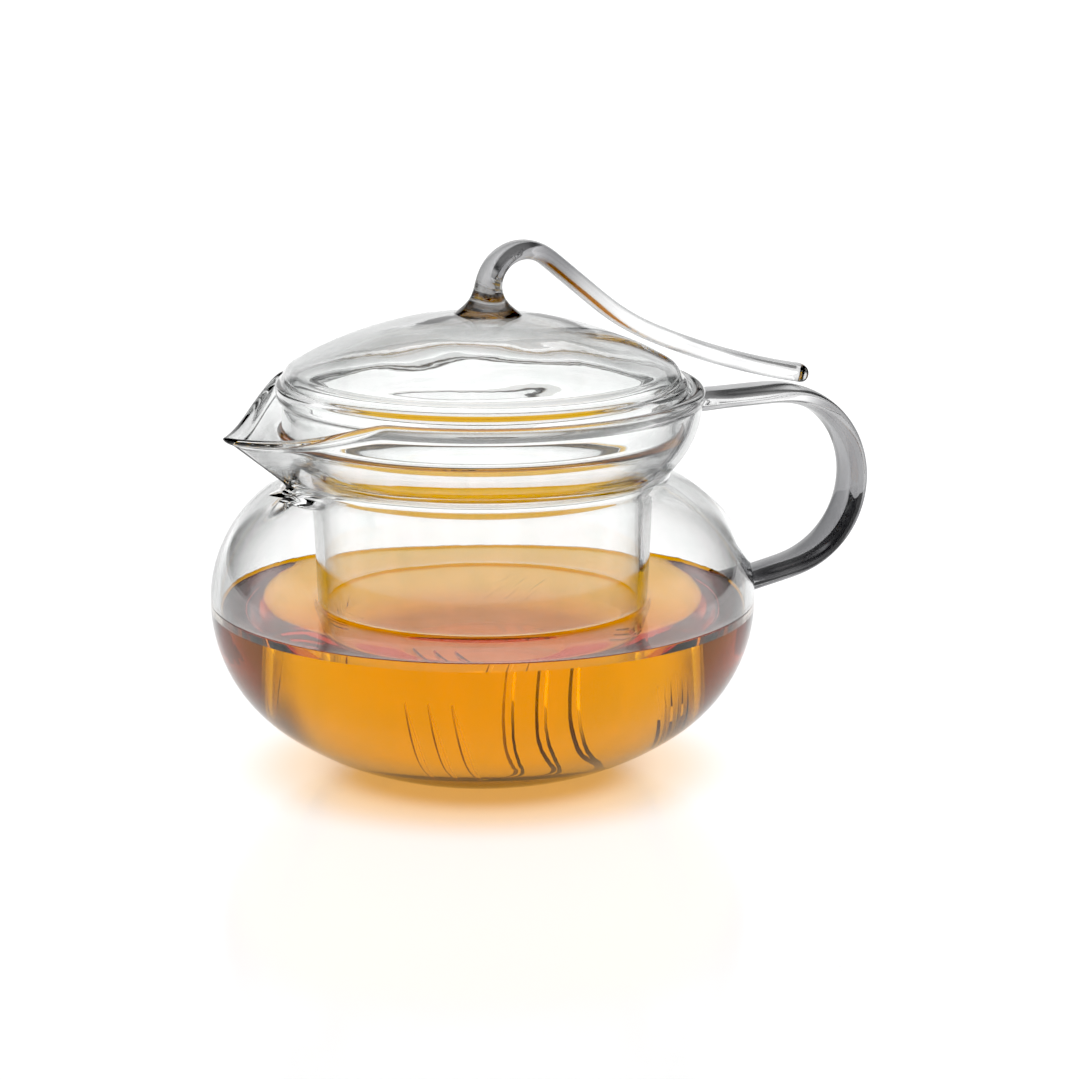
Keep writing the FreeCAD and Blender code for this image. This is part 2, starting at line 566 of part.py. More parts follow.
def cup_side(outline, size, glass):
    """Draw the infuser's side, glass inside its outer face, from the axis up to the flange's rim."""
    thick = size.cup_wall if glass else 0.0
    less = " - Sizes.cup_wall" if glass else ""
    tilt = size.cup_taper
    floor = size.cup_bottom + thick
    corner = (size.cup_radius - size.cup_corner, size.cup_bottom + size.cup_corner)
    corner_radius = size.cup_corner - thick
    flange = (size.rim_radius - size.collar_arc, size.collar_top)
    flange_radius = size.collar_arc - size.wall - size.seat_gap - thick
    low = (corner[0], floor)
    wall_low = polar(corner, corner_radius, -tilt)
    # The fillet's centre lies one fillet outside the wall's line and one fillet outside the flange's arc.
    rise = math.tan(math.radians(tilt))
    fillet_radius = size.cup_fillet + thick
    spread = fillet_radius / math.cos(math.radians(tilt))
    height = size.bowl_equator
    for _step in range(FILLET_STEPS):
        across = wall_low[0] + (height - wall_low[1]) * rise + spread
        height = flange[1] - math.sqrt((flange_radius + fillet_radius) ** 2 - (across - flange[0]) ** 2)
    fillet = (across, height)
    wall_high = polar(fillet, fillet_radius, 180 - tilt)
    flange_low = along(fillet, flange, fillet_radius)
    drop = size.collar_top - size.cup_rim_height
    rim = (flange[0] + math.sqrt(flange_radius**2 - drop**2), size.cup_rim_height)
    sky = size.cup_rim_height
    bottom = outline.line((0, floor), low)
    corner_arc = outline.arc(corner, low, wall_low)
    wall = outline.line(wall_low, wall_high)
    fillet_arc = outline.arc(fillet, wall_high, flange_low, clockwise=True)
    flange_arc = outline.arc(flange, flange_low, rim)
    across_top = outline.line(rim, (0, sky))
    axis = outline.line((0, sky), (0, floor))
    for first, second in ((flange_arc, across_top), (across_top, axis), (axis, bottom)):
        outline.join(first, second)
    smooth = ((bottom, corner_arc), (corner_arc, wall), (wall, fillet_arc), (fillet_arc, flange_arc))
    for first, second in smooth:
        outline.join(first, second, smooth=True)
    outline.rule("Horizontal", outline.pieces[bottom][0])
    outline.rule("Horizontal", outline.pieces[across_top][0])
    outline.rule("PointOnObject", *outline.start(bottom), -2)
    outline.rule("PointOnObject", *outline.end(across_top), -2)
    outline.radius(corner_arc, "Sizes.cup_corner" + less)
    corner_height = "Sizes.cup_bottom + Sizes.cup_corner"
    outline.place(outline.centre(corner_arc), "Sizes.cup_radius - Sizes.cup_corner", corner_height)
    turn = "cos(Sizes.cup_taper * 1 deg)"
    outline.place(
        outline.start(wall), f"Sizes.cup_radius - Sizes.cup_corner + (Sizes.cup_corner{less}) * {turn}"
    )
    outline.radius(fillet_arc, "Sizes.cup_fillet" + (" + Sizes.cup_wall" if glass else ""))
    outline.radius(flange_arc, "Sizes.collar_arc - Sizes.wall - Sizes.seat_gap" + less)
    outline.place(outline.centre(flange_arc), "Sizes.rim_radius - Sizes.collar_arc", "Sizes.collar_top")
    outline.place(outline.end(flange_arc), up="Sizes.cup_rim_height")
    return outline


def slit_sketch(body, size):
    """Three leaning, pointed slits side by side, on a level plane in front of the cup's axis."""
    outline = Outline(body, "slit_outline", "XZ_Plane", "Sizes.slit_depth_start")
    half_chord = math.hypot(size.slit_lean, size.slit_high - size.slit_low) / 2
    half_width = size.slit_width / 2
    radius = (half_chord**2 + half_width**2) / (2 * half_width)
    for number in (-1, 0, 1):
        middle = number * size.slit_pitch
        top = (middle - size.slit_lean / 2, size.slit_high)
        low = (middle + size.slit_lean / 2, size.slit_low)
        centres = [circles_meet(low, radius, top, radius, side) for side in (1, -1)]
        right = outline.arc(centres[0], low, top)
        left = outline.arc(centres[1], top, low)
        outline.join(right, left)
        outline.join(left, right)
        shift = f"{number} * Sizes.slit_pitch"
        outline.place(outline.start(right), f"{shift} + Sizes.slit_lean / 2", "Sizes.slit_low")
        outline.place(outline.end(right), f"{shift} - Sizes.slit_lean / 2", "Sizes.slit_high")
        chord = "(Sizes.slit_lean ^ 2 + (Sizes.slit_high - Sizes.slit_low) ^ 2) / 4"
        formula = f"({chord} + Sizes.slit_width ^ 2 / 4) / Sizes.slit_width"
        outline.radius(right, formula)
        outline.radius(left, formula)
    return outline.sketch


def infuser_cup(doc, size):
    """The infuser: a tapered cup with slits over its bottom corner and a flange that seats in the collar."""
    body = doc.addObject("PartDesign::Body", "infuser_cup")
    outside = cup_side(Outline(body, "cup_outside", "XZ_Plane"), size, False)
    turned(body, "Revolution", "cup_blown", outside)
    inside = cup_side(Outline(body, "cup_inside", "XZ_Plane"), size, True)
    turned(body, "Groove", "cup_hollow", inside)
    doc.recompute()
    tip = body.Tip
    rim_edges = [
        f"Edge{number}"
        for number, edge in enumerate(tip.Shape.Edges, start=1)
        if abs(edge.BoundBox.ZMin - size.cup_rim_height) < 0.001 and edge.Closed
    ]
    rim = feature(body, "Fillet", "cup_rim", Base=(tip, rim_edges))
    rim.setExpression("Radius", "Sizes.cup_edge")
    slits = feature(
        body, "Pocket", "slits", Profile=slit_sketch(body, size), Type="Length", Reversed=True
    )
    slits.setExpression("Length", "Sizes.cup_radius")
    doc.recompute()
    pattern = feature(
        body, "PolarPattern", "slit_groups", Originals=[slits],
        Axis=(origin_axis(body, "Z_Axis"), [""]), Angle=360.0, Occurrences=int(size.slit_groups),
    )
    body.Tip = pattern
    body.setExpression(".Placement.Rotation.Angle", "Sizes.slit_turn")
    return body


def dome_side(outline, size, solid):
    """Draw the lid's shell, or the solid under its outer face when solid, as a closed outline."""
    centre = (0.0, size.lid_apex - size.dome_arc)
    shell = size.lid_radius
    edge_x = shell - size.edge_arc
    edge = (edge_x, centre[1] + math.sqrt((size.dome_arc - size.edge_arc) ** 2 - edge_x**2))
    meet = along(centre, edge, size.dome_arc)
    base = size.cup_rim_height + size.seat_gap
    dome = outline.arc(centre, (0, size.lid_apex), meet, clockwise=True)
    bend = outline.arc(edge, meet, (shell, edge[1]), clockwise=True)
    skirt = outline.line((shell, edge[1]), (shell, base))
    outline.join(dome, bend, smooth=True)
    outline.join(bend, skirt)
    outline.rule("Vertical", outline.pieces[skirt][0])
    outline.level(bend)
    outline.rule("PointOnObject", *outline.centre(dome), -2)
    outline.rule("PointOnObject", *outline.start(dome), -2)
    outline.radius(dome, "Sizes.dome_arc")
    outline.radius(bend, "Sizes.edge_arc")
    outline.place(outline.start(dome), up="Sizes.lid_apex")
    outline.place(outline.end(bend), "Sizes.lid_radius")
    outline.place(outline.end(skirt), up="Sizes.cup_rim_height + Sizes.seat_gap")
    if solid:
        bottom = outline.line((shell, base), (0, base))
        axis = outline.line((0, base), (0, size.lid_apex))
        for first, second in ((skirt, bottom), (bottom, axis), (axis, dome)):
            outline.join(first, second)
        outline.rule("Horizontal", outline.pieces[bottom][0])
        outline.rule("PointOnObject", *outline.end(bottom), -2)
        return outline
    inside = shell - size.lid_wall
    inner_meet = along(centre, edge, size.dome_arc - size.lid_wall)
    bottom = outline.line((shell, base), (inside, base))
    inner_skirt = outline.line((inside, base), (inside, edge[1]))
    inner_bend = outline.arc(edge, (inside, edge[1]), inner_meet)
    inner_dome = outline.arc(centre, inner_meet, (0, size.lid_apex - size.lid_wall))
    axis = outline.line((0, size.lid_apex - size.lid_wall), (0, size.lid_apex))
    for first, second in ((skirt, bottom), (bottom, inner_skirt), (inner_skirt, inner_bend),
                          (inner_dome, axis), (axis, dome)):
        outline.join(first, second)
    outline.join(inner_bend, inner_dome, smooth=True)
    outline.rule("Horizontal", outline.pieces[bottom][0])
    outline.rule("Vertical", outline.pieces[inner_skirt][0])
    outline.rule("Coincident", *outline.centre(inner_bend), *outline.centre(bend))
    outline.level(inner_bend, at_end=False)
    outline.place(outline.start(inner_skirt), "Sizes.lid_radius - Sizes.lid_wall")
    outline.rule("PointOnObject", *outline.centre(inner_dome), -2)
    outline.rule("PointOnObject", *outline.end(inner_dome), -2)
    outline.radius(inner_dome, "Sizes.dome_arc - Sizes.lid_wall")
    return outline


def lid_dome(doc, size):
    """The blown lid: a low dome with a ring round its edge and a skirt that stands on the infuser's rim."""
    body = doc.addObject("PartDesign::Body", "lid_dome")
    shell = dome_side(Outline(body, "dome_outline", "XZ_Plane"), size, False)
    turned(body, "Revolution", "dome_blown", shell)
    ring = Outline(body, "lid_ring_outline", "XZ_Plane")
    middle = size.lid_radius
    low = (middle, size.flange_low + size.flange_round)
    high = (middle, size.flange_high - size.flange_round)
    reach = size.flange_round
    right = ring.line((middle + reach, low[1]), (middle + reach, high[1]))
    top = ring.arc(high, (middle + reach, high[1]), (middle - reach, high[1]))
    left = ring.line((middle - reach, high[1]), (middle - reach, low[1]))
    under = ring.arc(low, (middle - reach, low[1]), (middle + reach, low[1]))
    for first, second in ((right, top), (top, left), (left, under), (under, right)):
        ring.join(first, second, smooth=True)
    ring.rule("Vertical", ring.pieces[right][0])
    ring.radius(top, "Sizes.flange_round")
    ring.rule("Equal", ring.pieces[top][0], ring.pieces[under][0])
    ring.place(ring.centre(top), "Sizes.lid_radius", "Sizes.flange_high - Sizes.flange_round")
    ring.place(ring.centre(under), up="Sizes.flange_low + Sizes.flange_round")
    turned(body, "Revolution", "lid_ring", ring)
    return body


def lid_envelope(doc, size):
    """The lid's outer shape as one solid, which the lid handle's foot is cut back to.

    It is drawn on the cross plane, so that its seam doesn't run along the handle's own middle."""
    body = doc.addObject("PartDesign::Body", "lid_envelope")
    outline = dome_side(Outline(body, "lid_solid_outline", "YZ_Plane"), size, True)
    turned(body, "Revolution", "lid_solid", outline)
    return body


def rod_sweep(doc, size):
    """The lid's handle: an upright on the dome, a bend, a straight fall and a long tail that levels out."""
    body = doc.addObject("PartDesign::Body", "lid_handle_rod")
    start = (size.knob_offset, size.lid_apex - size.lid_wall)
    upright_end = (size.knob_offset, size.knob_height)
    bend = (size.knob_offset + size.knob_bend, size.knob_height)
    fall_start = polar(bend, size.knob_bend, 90 - size.knob_fall)
    slope = math.radians(-size.knob_fall)
    fall_end = (
        fall_start[0] + size.knob_run * math.cos(slope),
        fall_start[1] + size.knob_run * math.sin(slope),
    )
    sweep = polar(fall_end, size.sweep_arc, 90 - size.knob_fall)
    sweep_end = polar(sweep, size.sweep_arc, -90 - size.knob_fall + size.sweep_turn)
    tail = along(sweep_end, sweep, size.tail_arc)
    tail_angle = -90 - size.knob_fall + size.sweep_turn + size.tail_turn
    tail_end = polar(tail, size.tail_arc, tail_angle)
    path = Outline(body, "lid_handle_path", "XZ_Plane")
    upright = path.line(start, upright_end)
    first_bend = path.arc(bend, upright_end, fall_start, clockwise=True)
    run = path.line(fall_start, fall_end)
    sweep_arc = path.arc(sweep, fall_end, sweep_end)
    tail_arc = path.arc(tail, sweep_end, tail_end)
    joints = ((upright, first_bend), (first_bend, run), (run, sweep_arc), (sweep_arc, tail_arc))
    for first, second in joints:
        path.join(first, second, smooth=True)
    path.rule("Vertical", path.pieces[upright][0])
    path.place(path.start(upright), "Sizes.knob_offset", "Sizes.lid_apex - Sizes.lid_wall")
    path.place(path.end(upright), up="Sizes.knob_height")
    path.radius(first_bend, "Sizes.knob_bend")
    path.radius(sweep_arc, "Sizes.sweep_arc")
    path.radius(tail_arc, "Sizes.tail_arc")
    fall = "Sizes.knob_fall * 1 deg"
    later = "(Sizes.knob_fall - Sizes.sweep_turn) * 1 deg"
    last = "(Sizes.knob_fall - Sizes.sweep_turn - Sizes.tail_turn) * 1 deg"
    across = f"Sizes.knob_offset + Sizes.knob_bend + Sizes.knob_bend * sin({fall})"
    path.place(path.start(run), across)
    across += f" + Sizes.knob_run * cos({fall})"
    path.place(path.end(run), across)
    across += f" + Sizes.sweep_arc * (sin({fall}) - sin({later}))"
    path.place(path.start(tail_arc), across)
    across += f" + Sizes.tail_arc * (sin({later}) - sin({last}))"
    path.place(path.end(tail_arc), across)
    section = stadium(
        body, "lid_handle_section", "XY_Plane", "Sizes.lid_apex - Sizes.lid_wall",
        (size.rod_width, size.rod_thick), (size.knob_offset, "Sizes.knob_offset"),
        "Sizes.rod_width", "Sizes.rod_thick", True,
    )
    doc.recompute()
    feature(body, "AdditivePipe", "lid_handle_swept", Profile=section, Spine=(path.sketch, []))
    foot = feature(body, "AdditiveCone", "lid_handle_foot")
    foot.setExpression("Radius1", "Sizes.root_radius")
    foot.setExpression("Radius2", "Sizes.rod_width / 2")
    foot.setExpression("Height", "Sizes.root_rise + Sizes.lid_wall")
    foot.setExpression(".Placement.Base.x", "Sizes.knob_offset")
    foot.setExpression(".Placement.Base.z", "Sizes.lid_apex - Sizes.lid_wall")
    return body


def tea_in_pot(doc, size):
    """The tea round and under the infuser, clear of the infuser's way up."""
    body = doc.addObject("PartDesign::Body", "tea_in_pot")
    curve = VesselCurve(size, size.wall)
    side_radius = size.side_arc - size.wall
    drop = size.bowl_equator - size.tea_level
    shore = (curve.side[0] + math.sqrt(side_radius**2 - drop**2), size.tea_level)
    rise = math.tan(math.radians(size.cup_taper))
    hollow = size.cup_radius + (size.tea_level - size.cup_bottom) * rise + size.tea_gap
    under = size.cup_bottom - size.tea_gap
    outline = Outline(body, "tea_outline", "XZ_Plane")
    bottom = outline.line((0, size.wall), curve.start)
    base = outline.arc(curve.base, curve.start, curve.base_end)
    side = outline.arc(curve.side, curve.base_end, shore)
    top = outline.line(shore, (hollow, size.tea_level))
    well = outline.line((hollow, size.tea_level), (hollow, under))
    shelf = outline.line((hollow, under), (0, under))
    axis = outline.line((0, under), (0, size.wall))
    corners = ((bottom, base), (side, top), (top, well), (well, shelf), (shelf, axis), (axis, bottom))
    for first, second in corners:
        outline.join(first, second)
    outline.join(base, side, smooth=True)
    for piece in (bottom, top, shelf):
        outline.rule("Horizontal", outline.pieces[piece][0])
    outline.rule("Vertical", outline.pieces[well][0])
    outline.rule("PointOnObject", *outline.start(bottom), -2)
    outline.rule("PointOnObject", *outline.end(shelf), -2)
    outline.place(outline.end(bottom), "Sizes.floor_radius", "Sizes.wall")
    outline.radius(base, "Sizes.base_arc - Sizes.wall")
    outline.radius(side, "Sizes.side_arc - Sizes.wall")
    outline.place(outline.centre(side), "Sizes.bowl_radius - Sizes.side_arc", "Sizes.bowl_equator")
    outline.place(outline.end(side), up="Sizes.tea_level")
    opening = "(Sizes.tea_level - Sizes.cup_bottom) * tan(Sizes.cup_taper * 1 deg)"
    outline.place(outline.end(top), f"Sizes.cup_radius + {opening} + Sizes.tea_gap")
    outline.place(outline.end(well), up="Sizes.cup_bottom - Sizes.tea_gap")
    turned(body, "Revolution", "tea_poured", outline)
    return body


def check(doc, pieces):
    """Stop if any object of the document failed or any piece has no valid solid."""
    for item in doc.Objects:
        if any(word in item.State for word in ("Invalid", "Error")):
            raise RuntimeError(f"{item.Name} failed: {item.State}")
    for piece in pieces:
        shape = piece.Shape
        if shape.isNull() or not shape.isValid() or len(shape.Solids) != 1:
            raise RuntimeError(f"{piece.Label} is not one valid solid")


def main():
    """Build the teapot and write each piece to its own file."""
    doc = FreeCAD.newDocument("teapot_infuser")
    size = Sizes(make_sheet(doc))
    bowl = pot_bowl(doc, size)
    handle = trimmed(doc, "pot_handle", strap_sweep(doc, size), vessel_envelope(doc, size))
    tea = tea_in_pot(doc, size)
    cup = infuser_cup(doc, size)
    dome = lid_dome(doc, size)
    knob = trimmed(doc, "lid_handle", rod_sweep(doc, size), lid_envelope(doc, size))
    doc.recompute()
    pieces = (bowl, handle, tea, cup, dome, knob)
    check(doc, pieces)
    os.makedirs("parts", exist_ok=True)
    for piece in pieces:
        piece.Shape.exportStep(f"parts/{piece.Label}.step")
        box = piece.Shape.BoundBox
        print(f"{piece.Label}: {piece.Shape.Volume:.0f} mm3, x {box.XMin:.1f}..{box.XMax:.1f}, "
              f"y {box.YMin:.1f}..{box.YMax:.1f}, z {box.ZMin:.1f}..{box.ZMax:.1f}")


main()
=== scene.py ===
import logging
import math
from collections.abc import Sequence
from dataclasses import dataclass, field
from enum import Enum
from typing import Any

import bmesh
import bpy
import numpy as np
from mathutils import Matrix, Vector


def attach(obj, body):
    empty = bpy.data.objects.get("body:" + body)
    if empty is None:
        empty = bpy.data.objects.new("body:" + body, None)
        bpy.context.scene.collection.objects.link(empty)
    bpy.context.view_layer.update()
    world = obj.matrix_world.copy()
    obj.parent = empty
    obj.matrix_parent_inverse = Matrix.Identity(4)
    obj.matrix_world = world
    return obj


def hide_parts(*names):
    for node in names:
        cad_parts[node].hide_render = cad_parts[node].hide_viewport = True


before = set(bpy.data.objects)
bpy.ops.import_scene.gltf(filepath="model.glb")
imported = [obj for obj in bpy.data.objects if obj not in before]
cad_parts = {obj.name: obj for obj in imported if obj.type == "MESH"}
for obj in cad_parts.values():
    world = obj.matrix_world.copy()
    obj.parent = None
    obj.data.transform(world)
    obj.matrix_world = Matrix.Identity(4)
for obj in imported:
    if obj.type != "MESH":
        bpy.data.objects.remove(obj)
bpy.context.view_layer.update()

# An all-glass teapot: a blown bowl with a beaded rim, a pinched pouring lip and a strap handle, an
# infuser cup hung in its collar, a domed lid with a swept handle, and amber tea up to the middle of
# the bowl. Sizes are in millimetres until a mesh is made. +Z is up, +X is the handle's side and the
# lip points to -X.

LOG = logging.getLogger("teapot")
MM = 0.001
TAU = 2.0 * math.pi
POLE = 0.3  # radius beside the axis where a turned profile ends and its pole takes over
Array = np.ndarray
Point = tuple[float, float]
Colour = tuple[float, float, float]
Column = tuple[float, float, float]  # group angle, sideways place, and slit-edge or gap share


# ---- Curves and meshes ----


def arc(centre: Point, radius: float, start: float, stop: float, count: int = 200) -> Array:
    """Points of a circle from one angle to another.

    Formula: centre plus radius times (cosine, sine) of evenly spaced angles, in radians.

    Args:
        centre: The circle's centre.
        radius: Its radius.
        start: First angle.
        stop: Last angle.
        count: How many points.

    Returns:
        An array of count points.
    """
    angle = np.linspace(start, stop, count)
    return np.stack((centre[0] + radius * np.cos(angle), centre[1] + radius * np.sin(angle)), axis=1)


def line(start: Point, stop: Point, count: int = 60) -> Array:
    """Evenly spaced points of a straight line."""
    share = np.linspace(0.0, 1.0, count)[:, None]
    return (1.0 - share) * np.array(start) + share * np.array(stop)


def bearing(centre: Point, point: Point) -> float:
    """The angle of a point as seen from a centre."""
    return math.atan2(point[1] - centre[1], point[0] - centre[0])


def toward(start: Point, stop: Point, distance: float) -> Point:
    """The point at a distance from start on the way to stop."""
    share = distance / math.dist(start, stop)
    return (start[0] + (stop[0] - start[0]) * share, start[1] + (stop[1] - start[1]) * share)


def crossing(first: Point, first_radius: float, second: Point, second_radius: float, side: int) -> Point:
    """Where two circles cross.

    Formula: the foot of the common chord lies (g^2 + a^2 - b^2) / 2g along the line of centres, and the
    crossing stands half a chord to its side.

    Args:
        first: Centre of the first circle.
        first_radius: Its radius.
        second: Centre of the second circle.
        second_radius: Its radius.
        side: +1 for the crossing to the left of the way from first to second, -1 for the other.

    Returns:
        The crossing point.
    """
    gap = math.dist(first, second)
    run = (gap**2 + first_radius**2 - second_radius**2) / (2.0 * gap)
    rise = side * math.sqrt(first_radius**2 - run**2)
    way = ((second[0] - first[0]) / gap, (second[1] - first[1]) / gap)
    return (first[0] + way[0] * run - way[1] * rise, first[1] + way[1] * run + way[0] * rise)


def travelled(points: Array) -> Array:
    """Distance along a polyline at each of its points."""
    steps = np.linalg.norm(np.diff(points, axis=0), axis=1)
    return np.concatenate(([0.0], np.cumsum(steps)))


def resampled(points: Array, places: Array) -> Array:
    """The points of a polyline at given distances along it."""
    along = travelled(points)
    return np.stack([np.interp(places, along, points[:, axis]) for axis in range(points.shape[1])], axis=1)


def softened(points: Array, reach: float, step: float = 0.05) -> Array:
    """A polyline with its corners and its changes of curvature eased, as fire-polished glass has them.

    Formula: evenly spaced points are averaged with a bell curve of the given reach, the line being
    carried past its ends by point reflection, so that its ends stay where they are.

    Args:
        points: The polyline.
        reach: Standard deviation of the bell curve.
        step: Spacing of the points it is averaged on.

    Returns:
        The eased polyline, evenly spaced.
    """
    total = travelled(points)[-1]
    even = resampled(points, np.linspace(0.0, total, int(total / step) + 1))
    half = int(4.0 * reach / step)
    bell = np.exp(-0.5 * (np.arange(-half, half + 1) * step / reach) ** 2)
    bell /= bell.sum()
    before = 2.0 * even[0] - even[half:0:-1]
    after = 2.0 * even[-1] - even[-2 : -half - 2 : -1]
    padded = np.concatenate((before, even, after))
    return np.stack([np.convolve(padded[:, axis], bell, mode="valid") for axis in range(2)], axis=1)


def paced(points: Array, turn: float, least: float, most: float) -> Array:
    """A polyline resampled closely where it bends and widely where it is flat.

    Formula: the spacing is the local radius of curvature times the allowed turn, held between least and
    most; points stand at equal steps of the integral of its inverse.

    Args:
        points: An evenly spaced polyline.
        turn: Allowed turn from point to point, in radians.
        least: Smallest spacing.
        most: Largest spacing.

    Returns:
        The resampled polyline.
    """
    along = travelled(points)
    ways = np.unwrap(np.arctan2(*np.diff(points, axis=0).T[::-1]))
    bend = np.abs(np.gradient(ways, along[1:]))
    bend = np.convolve(np.pad(bend, 10, mode="edge"), np.ones(21) / 21.0, mode="valid")
    spacing = np.clip(turn / np.maximum(bend, 1e-6), least, most)
    density = np.concatenate(([0.0], np.cumsum(np.diff(along) / spacing)))
    count = int(math.ceil(density[-1])) + 1
    return resampled(points, np.interp(np.linspace(0.0, density[-1], count), density, along))


def smoothstep(share: Array) -> Array:
    """0 below 0, 1 above 1, and 3s^2 - 2s^3 between."""
    held = np.clip(share, 0.0, 1.0)
    return held * held * (3.0 - 2.0 * held)


def ripple(angle: Array, height: Array, seed: float) -> Array:
    """The slow unevenness of blown glass, between about -1 and 1.

    Formula: a sum of five products of cosines of whole multiples of the angle and of the height.
    """
    total = np.zeros(np.broadcast(angle, height).shape)
    for number in range(1, 6):
        around = np.cos(number * angle + seed * number * 1.7)
        up = np.cos(height * (0.045 + 0.031 * number) + seed * 2.3 + number)
        total += around * up / (1.0 + 0.35 * number)
    return total / 2.4


def quads_of(numbers: Array, around: bool) -> Array:
    """The four-cornered faces of a grid of vertex numbers, joined round its second direction if asked."""
    if around:
        numbers = np.concatenate((numbers, numbers[:, :1]), axis=1)
    corners = (numbers[:-1, :-1], numbers[:-1, 1:], numbers[1:, 1:], numbers[1:, :-1])
    return np.stack([corner.ravel() for corner in corners], axis=1)


def fan_of(pole: int, ring: Array) -> Array:
    """The three-cornered faces between a pole and a ring of vertex numbers."""
    return np.stack((np.full(len(ring), pole), ring, np.roll(ring, -1)), axis=1)


@dataclass
class Skin:
    """A closed surface: its points, its faces and the slot of each face."""

    points: Array
    faces: list[Array] = field(default_factory=list)
    slots: list[Array] = field(default_factory=list)

    def add(self, faces: Array, slots: Array | int = 0) -> None:
        """Add faces with their material slots."""
        self.faces.append(faces)
        self.slots.append(np.broadcast_to(np.asarray(slots), len(faces)))

    def object(self, name: str, sharp: float | None = None) -> bpy.types.Object:
        """Make the Blender object, its faces smooth and pointing outwards.

        Args:
            name: The piece's name.
            sharp: Edges that bend more than this many degrees stay sharp.

        Returns:
            The new object, linked to the scene.
        """
        mesh = bpy.data.meshes.new(name)
        faces = [face for block in self.faces for face in block.tolist()]
        mesh.from_pydata((self.points * MM).tolist(), [], faces)
        mesh.polygons.foreach_set("material_index", np.concatenate(self.slots).astype(np.int32))
        work = bmesh.new()
        work.from_mesh(mesh)
        loose = [vert for vert in work.verts if not vert.link_faces]
        bmesh.ops.delete(work, geom=loose, context="VERTS")
        bmesh.ops.recalc_face_normals(work, faces=work.faces)
        if work.calc_volume(signed=True) < 0.0:
            bmesh.ops.reverse_faces(work, faces=work.faces)
        work.to_mesh(mesh)
        work.free()
        mesh.polygons.foreach_set("use_smooth", np.ones(len(mesh.polygons), dtype=bool))
        if sharp is not None:
            mesh.set_sharp_from_angle(angle=math.radians(sharp))
        mesh.update()
        made = bpy.data.objects.new(name, mesh)
        bpy.context.scene.collection.objects.link(made)
        return made


def turned_skin(radius: Array, height: Array, angle: Array, slot: Array | int = 0) -> Skin:
    """A closed surface of revolution whose radius and height may vary round the axis.

    Formula: point (i, j) is (r cos a_j, r sin a_j, z) with r and z taken from the two grids; a pole on
    the axis closes each end.

    Args:
        radius: Radius at each profile point and angle.
        height: Height at each profile point and angle.
        angle: The angles.
        slot: Material slot of each band between profile points.

    Returns:
        The surface.
    """
    rows, columns = radius.shape
    grid = np.stack((radius * np.cos(angle), radius * np.sin(angle), height), axis=-1).reshape(-1, 3)
    poles = np.array([[0.0, 0.0, height[0].mean()], [0.0, 0.0, height[-1].mean()]])
    skin = Skin(np.concatenate((grid, poles)))
    numbers = np.arange(rows * columns).reshape(rows, columns)
    bands = np.broadcast_to(np.asarray(slot), rows - 1)
    skin.add(quads_of(numbers, True), np.repeat(bands, columns))
    skin.add(fan_of(rows * columns, numbers[0]), bands[0])
    skin.add(fan_of(rows * columns + 1, numbers[-1][::-1]), bands[-1])
    return skin


def swept_skin(path: Array, half_width: Array, half_thick: Array, columns: int, fullness: float) -> Skin:
    """A flattened rod along a path in the XZ plane, closed by a pole at each end.

    Formula: each section is a superellipse, point = path + n t sgn(c)|c|^(2/e) + y w sgn(s)|s|^(2/e),
    with n the path's normal, c and s the cosine and sine of the place round the section, w and t its
    half width and half thickness and e its fullness.

    Args:
        path: Points (x, z) of the middle line.
        half_width: Half width at each point, along Y.
        half_thick: Half thickness at each point, across the path.
        columns: Points round a section.
        fullness: The superellipse's exponent, 2 for an ellipse.

    Returns:
        The surface.
    """
    way = np.gradient(path, axis=0)
    way /= np.linalg.norm(way, axis=1)[:, None]
    normal = np.stack((-way[:, 1], way[:, 0]), axis=1)
    place = np.arange(columns) * TAU / columns
    power = 2.0 / fullness
    rise = np.sign(np.cos(place)) * np.abs(np.cos(place)) ** power
    side = np.sign(np.sin(place)) * np.abs(np.sin(place)) ** power
    inner = slice(1, -1)
    centre = path[inner, None, :] + normal[inner, None, :] * (half_thick[inner, None] * rise)[..., None]
    across = half_width[inner, None] * side
    grid = np.stack((centre[..., 0], across, centre[..., 1]), axis=-1)
    rows = len(path) - 2
    ends = np.array([[path[0, 0], 0.0, path[0, 1]], [path[-1, 0], 0.0, path[-1, 1]]])
    skin = Skin(np.concatenate((grid.reshape(-1, 3), ends)))
    numbers = np.arange(rows * columns).reshape(rows, columns)
    skin.add(quads_of(numbers, True))
    skin.add(fan_of(rows * columns, numbers[0]))
    skin.add(fan_of(rows * columns + 1, numbers[-1][::-1]))
    return skin


# ---- Shader nodes ----


class Signal:
    """One number output of a node, with the arithmetic of Math nodes."""

    def __init__(self, bench: "Bench", socket: bpy.types.NodeSocket) -> None:
        """Keep the node tree and the socket."""
        self.bench = bench
        self.socket = socket

    def math(self, operation: str, *others: "Signal | float") -> "Signal":
        """Add a Math node with this signal as its first value."""
        return self.bench.number("ShaderNodeMath", {"operation": operation}, (self, *others))

    def __add__(self, other: "Signal | float") -> "Signal":
        """Sum."""
        return self.math("ADD", other)

    def __mul__(self, other: "Signal | float") -> "Signal":
        """Product."""
        return self.math("MULTIPLY", other)

    def __sub__(self, other: "Signal | float") -> "Signal":
        """Difference."""
        return self.math("SUBTRACT", other)

    def __rsub__(self, other: float) -> "Signal":
        """Difference from a plain number."""
        return self.bench.number("ShaderNodeMath", {"operation": "SUBTRACT"}, (other, self))

    __radd__ = __add__
    __rmul__ = __mul__


